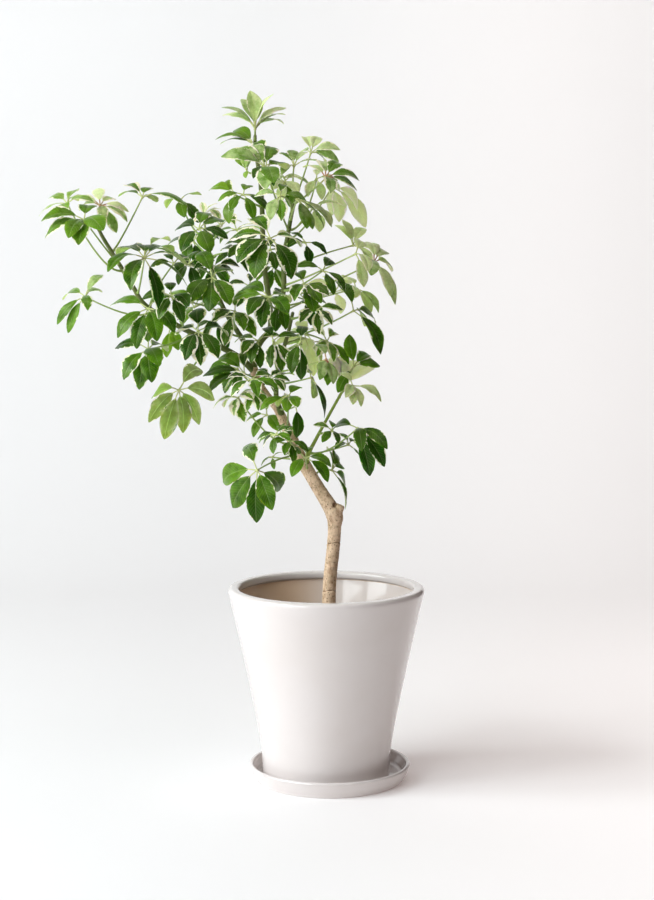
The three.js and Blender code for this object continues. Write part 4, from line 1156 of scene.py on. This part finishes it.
def stalk_material():
    graph = Graph("leaf_stalk")
    run, blush, tone = graph.values("leaf_u", "leaf_blush", "leaf_tone")
    mottle = graph.noise(graph.place, 130, 4, 0.6)
    shade = graph.plus(graph.times(tone, 0.6), graph.times(mottle, 0.5), True)
    near_hub = graph.between(run, 0.55, 1.0)
    blushed = graph.times(graph.times(near_hub, blush), graph.between(mottle, 0.2, 0.7, 0.5, 1))
    colour = graph.layers(STALK_GREEN, (shade, STALK_LIGHT), (graph.times(near_hub, 0.7), STALK_PALE),
                          (blushed, STALK_BLUSH))
    return graph.finish(Base_Color=colour, Roughness=graph.spread(mottle, 0.38, 0.5),
                        Normal=graph.bump(mottle, 0.3, 0.4), Specular_IOR_Level=0.45)


BARK_TAN = rgb(0.89, 0.66, 0.46)
BARK_GREY = rgb(0.66, 0.48, 0.31)
BARK_BROWN = rgb(0.17, 0.085, 0.035)
BARK_RUST = rgb(0.42, 0.22, 0.12)
SHOOT_GREEN = rgb(0.09, 0.135, 0.025)
YOUNG_GREEN = rgb(0.30, 0.40, 0.07)


# Light bark with flakes, streaks and dark dots, which gives way to green where a shoot is young
def bark_material():
    graph = Graph("bark")
    wood, run, relief = graph.values("bark_wood", "bark_run", "bark_relief")
    around = graph.node("Attribute", "Vector", {}, attribute_name="bark_around")
    bend = graph.times(graph.noise(around, 0.35, 2), 4.0)
    streak = graph.noise(graph.joined(bend, run, wood), 0.12)
    mottle = graph.noise(graph.place, 85, 5, 0.65)
    fine = graph.noise(graph.place, 520, 3, 0.6)
    flake = graph.noise(graph.scaled((1.0, 1.0, 0.55)), 260, 4, 0.65)
    dot = graph.between(graph.cells(graph.scaled((1.0, 1.0, 0.7)), 290), 0.27, 0.16)
    dot = graph.times(dot, graph.between(graph.noise(graph.place, 60, 2), 0.36, 0.5))
    tan = graph.layers(
        BARK_TAN, (graph.between(mottle, 0.36, 0.64), BARK_GREY),
        (graph.between(flake, 0.47, 0.62, 0.0, 0.55), BARK_RUST),
        (graph.between(streak, 0.5, 0.75, 0.0, 0.25), BARK_BROWN), (graph.times(dot, 0.85), BARK_BROWN),
        # Sunken bark painted darker: partly the scars' own dark colour, partly painted shade in the grooves
        (graph.between(relief, -0.12, -0.5, 0.0, 0.8), BARK_BROWN),
        (graph.between(fine, 0.5, 0.8, 0.0, 0.22), BARK_BROWN))
    green = graph.layers(SHOOT_GREEN, (graph.spread(mottle, 0.0, 0.12), BARK_GREY),
                         (graph.between(wood, 0.08, 0.02, 0.0, 0.85), YOUNG_GREEN))
    share = graph.between(graph.plus(wood, graph.spread(mottle, -0.15, 0.15)), 0.45, 0.95)
    height = graph.plus(graph.times(mottle, 0.6), graph.times(fine, 0.35))
    height = graph.minus(height, graph.times(dot, 0.3))
    colour = graph.layers(green, (share, tan))
    return graph.finish(Base_Color=colour, Roughness=graph.spread(mottle, 0.62, 0.82),
                        Normal=graph.bump(height, 0.6, 1.0), Specular_IOR_Level=0.3)


GLAZE_WHITE = rgb(0.74, 0.68, 0.66)
GLAZE_WARM = rgb(0.72, 0.655, 0.63)
# Painted shade and bounce light inside the pot
INSIDE_PAINTED_SHADE = rgb(0.84, 0.60, 0.42)
SPECK = rgb(0.45, 0.40, 0.34)
# Painted shade for the groove under the rim's inner band
GROOVE_SHADE_BROWN = rgb(0.70, 0.53, 0.38)
# The groove under the rim's inner band, in metres
BAND_LINE = 0.2722
BAND_LINE_HALF = 0.0009
BAND_REACH = 0.1318
# Where the painted shade inside the pot is full and where it ends, from left to right
INSIDE_SHADE_FULL = -0.07
INSIDE_SHADE_END = 0.03
INSIDE_SLOPE = (POT_SIDE[-1][0] - POT_SIDE[0][0]) / (POT_SIDE[-1][1] - POT_SIDE[0][1])
INSIDE_START = (POT_SIDE[0][0] - POT_WALL / 2 - POT_SIDE[0][1] * INSIDE_SLOPE) * MM


def pot_reach(graph):
    x, y = graph.part(0), graph.part(1)
    return graph.math("SQRT", graph.plus(graph.times(x, x), graph.times(y, y)))


# Painted shade: a thin ragged brown line in the groove under the inner band of the rim
def groove_shade_line(graph):
    inside = graph.between(pot_reach(graph), BAND_REACH, BAND_REACH - 0.001)
    off = graph.size(graph.minus(graph.part(2), BAND_LINE))
    near = graph.between(off, BAND_LINE_HALF, BAND_LINE_HALF * 0.3)
    ragged = graph.between(graph.noise(graph.place, 90, 3, 0.6), 0.3, 0.6, 0.45, 0.9)
    return graph.times(graph.times(inside, near), ragged)


# Painted shade: below the band the inside is painted warm brown, full on the shaded left and faint on the
# right, for its shade and the soil's warm bounce light
def inside_painted_shade(graph):
    bound = graph.plus(graph.times(graph.part(2), INSIDE_SLOPE), INSIDE_START)
    inside = graph.between(graph.minus(bound, pot_reach(graph)), 0.0, 0.001)
    below = graph.between(graph.part(2), BAND_LINE + 0.0005, BAND_LINE - 0.0005)
    shade_share = graph.between(graph.part(0), INSIDE_SHADE_FULL, INSIDE_SHADE_END, 1.0, 0.15)
    return graph.times(graph.times(inside, below), shade_share)


def glaze_material():
    graph = Graph("glaze")
    cloud = graph.noise(graph.place, 9, 3, 0.5)
    fine = graph.noise(graph.place, 160, 2, 0.5)
    speck = graph.between(graph.cells(graph.place, 130), 0.055, 0.03, 0.0, 0.35)
    colour = graph.layers(GLAZE_WHITE, (graph.between(cloud, 0.35, 0.7), GLAZE_WARM),
                          (inside_painted_shade(graph), INSIDE_PAINTED_SHADE), (speck, SPECK), (groove_shade_line(graph), GROOVE_SHADE_BROWN))
    height = graph.plus(graph.noise(graph.place, 22, 2, 0.4), graph.times(fine, 0.04))
    return graph.finish(Base_Color=colour, Roughness=graph.spread(fine, 0.16, 0.24),
                        Normal=graph.bump(height, 0.12, 0.8), Specular_IOR_Level=0.35, Coat_Weight=0.6,
                        Coat_Roughness=0.025)


SOIL_DARK = rgb(0.018, 0.011, 0.007)
SOIL_BROWN = rgb(0.075, 0.045, 0.026)
CHIP_TAN = rgb(0.20, 0.12, 0.065)


def soil_material():
    graph = Graph("soil")
    chip, = graph.values("soil_chip")
    lumps = graph.noise(graph.place, 150, 5, 0.7)
    fine = graph.noise(graph.place, 700, 3, 0.7)
    colour = graph.layers(SOIL_DARK, (graph.between(lumps, 0.35, 0.65), SOIL_BROWN),
                          (graph.between(chip, 0.55, 1.0, 0.0, 0.75), CHIP_TAN),
                          (graph.between(fine, 0.55, 0.75, 0.0, 0.35), CHIP_TAN))
    height = graph.plus(lumps, graph.times(fine, 0.4))
    return graph.finish(Base_Color=colour, Roughness=graph.spread(lumps, 0.85, 0.95),
                        Normal=graph.bump(height, 0.8, 1.6), Specular_IOR_Level=0.2)


FLOOR_WHITE = rgb(0.85, 0.85, 0.85)
FLOOR_SHADE = rgb(0.84, 0.84, 0.84)
# Painted light: the floor glows faintly though it is no lamp, stronger to the right and weaker far behind,
# lightening the floor and the pot's shadow on it
FLOOR_PAINTED_GLOW_TINT = rgb(1.0, 0.86, 0.825)
FLOOR_PAINTED_GLOW_LEFT = 0.085
FLOOR_PAINTED_GLOW_RIGHT = 0.27
GLOW_START = -0.35
GLOW_END = 0.75
GLOW_FADE_START = 0.5
GLOW_FADE_END = 1.6
GLOW_FAR_SHARE = 0.6


def floor_material():
    graph = Graph("studio_paper")
    grain = graph.noise(graph.place, 3, 3, 0.5)
    rightward = graph.between(graph.part(0), GLOW_START, GLOW_END)
    near = graph.between(graph.part(1), GLOW_FADE_START, GLOW_FADE_END, 1.0, GLOW_FAR_SHARE)
    # painted light: the floor's glow
    painted_glow = graph.plus(graph.times(graph.times(rightward, near), FLOOR_PAINTED_GLOW_RIGHT), FLOOR_PAINTED_GLOW_LEFT)
    return graph.finish(Base_Color=graph.layers(FLOOR_WHITE, (grain, FLOOR_SHADE)),
                        Roughness=graph.spread(grain, 0.85, 0.95), Specular_IOR_Level=0.1,
                        Emission_Color=FLOOR_PAINTED_GLOW_TINT, Emission_Strength=painted_glow)


# Studio

FLOOR_FRONT = -3400
FLOOR_BACK = 1500
FLOOR_LEFT = -3600
FLOOR_RIGHT = 1150
SWEEP_RADIUS = 1300
SWEEP_STEPS = 24
BACK_HEIGHT = 3600


def make_floor(material):
    profile = [(FLOOR_FRONT, 0)]
    for i in range(SWEEP_STEPS + 1):
        angle = math.radians(90 * i / SWEEP_STEPS)
        profile.append((FLOOR_BACK + SWEEP_RADIUS * math.sin(angle), SWEEP_RADIUS * (1 - math.cos(angle))))
    profile.append((FLOOR_BACK + SWEEP_RADIUS, BACK_HEIGHT))
    points = [(x, y, z) for y, z in profile for x in (FLOOR_LEFT, FLOOR_RIGHT)]
    shape = Shape()
    shape.add(points, [(2 * i, 2 * i + 1, 2 * i + 3, 2 * i + 2) for i in range(len(profile) - 1)])
    floor = shape.build("studio_floor", [material])


# Soft windows: name, place, target, width and height, power, tint
WINDOWS = [
    ("key_pane_near", (-3.6768, -1.954, 3.2), (0, 0, 0.45), (1.25, 1.2), 80, (0.93, 1.0, 1.02)),
    ("key_pane_far", (-4.1232, -0.586, 3.2), (0, 0, 0.45), (1.25, 1.2), 80, (0.93, 1.0, 1.02)),
    ("side_window", (-2.0, -2.6, 1.95), (0, 0, 0.45), (1.8, 1.8), 60, (0.93, 1.0, 1.03)),
    ("low_window", (-3.0, -0.9, 0.95), (0, 0, 0.3), (1.6, 1.1), 31, (0.93, 1.0, 1.03)),
    ("back_window", (0.6, 0.7, 2.9), (0.5, 2.8, 1.2), (4.0, 0.8), 16, (1.0, 0.98, 0.955)),
    ("top_window", (0.2, -0.4, 2.7), (0, 0, 0), (1.6, 1.6), 11, (1.0, 0.88, 0.85)),
]


def make_lights():
    for name, place, target, size, power, tint in WINDOWS:
        data = bpy.data.lights.new(name, "AREA")
        data.shape = "RECTANGLE"
        data.size, data.size_y = size
        data.energy = power
        data.color = tint
        light = add_object(name, data)
        light.location = place
        light.rotation_euler = (Vector(target) - Vector(place)).to_track_quat("-Z", "Y").to_euler()


AIR_TINT = rgb(1.0, 0.80, 0.72)
AIR_STRENGTH = 0.06
WALL_TINT = rgb(1.0, 0.99, 0.98)
WALL_STRENGTH = 0.85


# Faint air light on the plant, and a pale wall where the eye looks past the floor
def make_world():
    world = bpy.data.worlds.new("studio_air")
    world.use_nodes = True
    nodes, links = world.node_tree.nodes, world.node_tree.links
    air = nodes["Background"]
    wall = nodes.new("ShaderNodeBackground")
    for sky, tint, strength in ((air, AIR_TINT, AIR_STRENGTH), (wall, WALL_TINT, WALL_STRENGTH)):
        sky.inputs["Color"].default_value = tint
        sky.inputs["Strength"].default_value = strength
    mix = nodes.new("ShaderNodeMixShader")
    links.new(nodes.new("ShaderNodeLightPath").outputs["Is Camera Ray"], mix.inputs[0])
    links.new(air.outputs[0], mix.inputs[1])
    links.new(wall.outputs[0], mix.inputs[2])
    links.new(mix.outputs[0], nodes["World Output"].inputs["Surface"])
    bpy.context.scene.world = world


def make_camera():
    data = bpy.data.cameras.new("eye")
    data.sensor_width = 36
    data.sensor_fit = "VERTICAL"
    data.sensor_height = 36
    data.lens = EYE_LENS
    camera = add_object("eye", data)
    camera.location = (0.001, -EYE_DISTANCE * MM, EYE_HEIGHT * MM)
    camera.rotation_euler = (math.radians(90) - EYE_TILT, 0, 0)
    bpy.context.scene.camera = camera


# How each leaf looks: tone, cream, lime, blush and teeth. What isn't given is 0
LOOKS = {
    "a01": (0.62, 0.12, 0.25), "a02": (0.3, 0.25, 0.1), "a03": (0.85, 0.5, 0, 0.9),
    "a04": (0.22, 0.2, 0, 0.1), "a05": (0.2, 0.12, 0, 0.2), "a06": (0.5, 0.2), "a07": (0.32, 0.12),
    "a08": (0.25, 0.12, 0, 0, 1), "a09": (0.4, 0.1, 0.5), "a10": (0.12, 0.4, 0, 0, 1),
    "a11": (0.5, 0.1, 0.2), "a12": (0.2, 0.12), "a13": (0.12, 0.15), "a14": (0.7, 0.8, 0.3),
    "a15": (0.12, 0.1), "a16": (0.3, 0.15, 0.1), "b01": (0.85, 0.15, 0.08, 0.1), "b02": (0.42, 0.12),
    "b03": (0.5, 0.2), "b04": (0.6, 0.1, 0.5), "b05": (0.3, 0.1, 0.3), "b06": (0.3, 0.12, 0.1),
    "b07": (0.22, 0.45, 0, 0.1), "b09": (0.75, 0.2), "b10": (0.72, 0.3), "b11": (0.3, 0.3),
    "c01": (0.6, 0.25, 0, 0.1), "c02": (0.75, 0.25), "c03": (0.62, 0.35, 0, 1), "c04": (0.9, 0.15),
    "c05": (0.75, 0.12), "c06": (1, 0.12), "c07": (0.95, 0.12, 0, 1), "c08": (0.12, 0.12),
    "c09": (1, 0.15), "c10": (0.16, 0.12, 0, 0.1), "c11": (0.15, 0.12), "c13": (0.25, 0.25, 0.1),
    "c14": (0.15, 0.45), "c16": (1, 0.12), "c17": (0.5, 0.6, 0.2), "c18": (1, 0.2),
    "d01": (0.25, 0.12, 0.1), "d02": (1, 0.05), "d03": (0.95, 0.2), "d04": (0.65, 0.15, 0, 1),
    "d05": (1, 0.25), "d06": (0.1, 0.1), "d07": (0.1, 0.12, 0, 0.1), "d08": (0.4, 0.15, 0.15, 0.1),
    "d09": (0.12, 0.12), "d10": (0.2, 0.2, 0.05, 0, 1), "d11": (0.6, 0.6, 0.3), "d12": (0.4, 0.15, 0.15),
    "d13": (0.4, 0.15, 0.15), "e01": (0.2, 0.12, 0, 0.1), "e02": (0.5, 0.1, 0.1),
    "e03": (0.35, 0.12, 0.1), "e04": (0, 0.1, 0, 0.1), "e05": (0.12, 0.1), "e06": (0.4, 0.3),
    "e07": (0.3, 0.12), "x03": (0.3, 0.45, 0.05, 0, 1), "x04": (0.05, 0.2), "x05": (0.2, 0.4, 0.1, 0, 1),
    "x06": (0.15, 0.3), "x07": (0.25, 0.3), "x09": (0.3, 0.35), "x11": (0.08, 0.3),
    "x12": (0.3, 0.2, 0.05), "x16": (0.6, 0.65, 0.1), "x17": (0.08, 0.35), "x19": (0.45, 0.2),
    "x20": (0.12, 0.15), "x22": (0.08, 0.15), "x23": (0.45, 0.2, 0.15), "x28": (0.15, 0.12, 0.1),
    "x29": (0.92, 0.2), "x30": (0.3, 0.25), "x31": (0.2, 0.2), "x32": (0.12, 0.2), "x33": (0.12, 0.25),
    "x34": (0.12, 0.15), "x35": (0.9, 0.15), "x36": (0.9, 0.15), "x37": (0.5, 0.4, 0.1),
    "x40": (0.08, 0.12), "x41": (0.05, 0.1), "x42": (0.1, 0.35), "x43": (0.4, 0.12), "x44": (0.5, 0.4),
    "x45": (0.25, 0.2), "x46": (0.95, 0.3), "x47": (0.05, 0.2), "x49": (0.35, 0.2),
}


def dress(piece, node=None):
    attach(piece, "root")
    if node:
        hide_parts(node)


def make_leaves(materials):
    taken = []
    packed = [(row, "leaf_" + row[0], "umbrella_") for row in LEAVES]
    packed += [(row, "stem", "young_") for row in YOUNG_LEAVES]
    for row, node, prefix in packed:
        plan = packed_plan(row, node)
        dress(leaf_object(plan, materials, prefix + plan.name), node)
        taken.append(blade_points(plan))
    taken += [np.array([point for point, _ in shoot_line(rows)]) for rows in SHOOTS.values()]
    for row in INNER_LEAVES:
        plan, points = inner_plan(row, np.concatenate(taken))
        dress(leaf_object(plan, materials, "inner_" + plan.name))
        taken.append(points)


def build_scene():
    glaze = glaze_material()
    dress(make_saucer(glaze), "saucer")
    dress(make_pot(glaze), "pot")
    dress(make_soil(soil_material()), "soil")
    dress(make_stem(bark_material()), "stem")
    make_leaves([upper_material(), under_material(), stalk_material()])
    make_floor(floor_material())
    make_lights()
    make_world()
    make_camera()
    bpy.context.scene.view_settings.view_transform = "Standard"


build_scene()
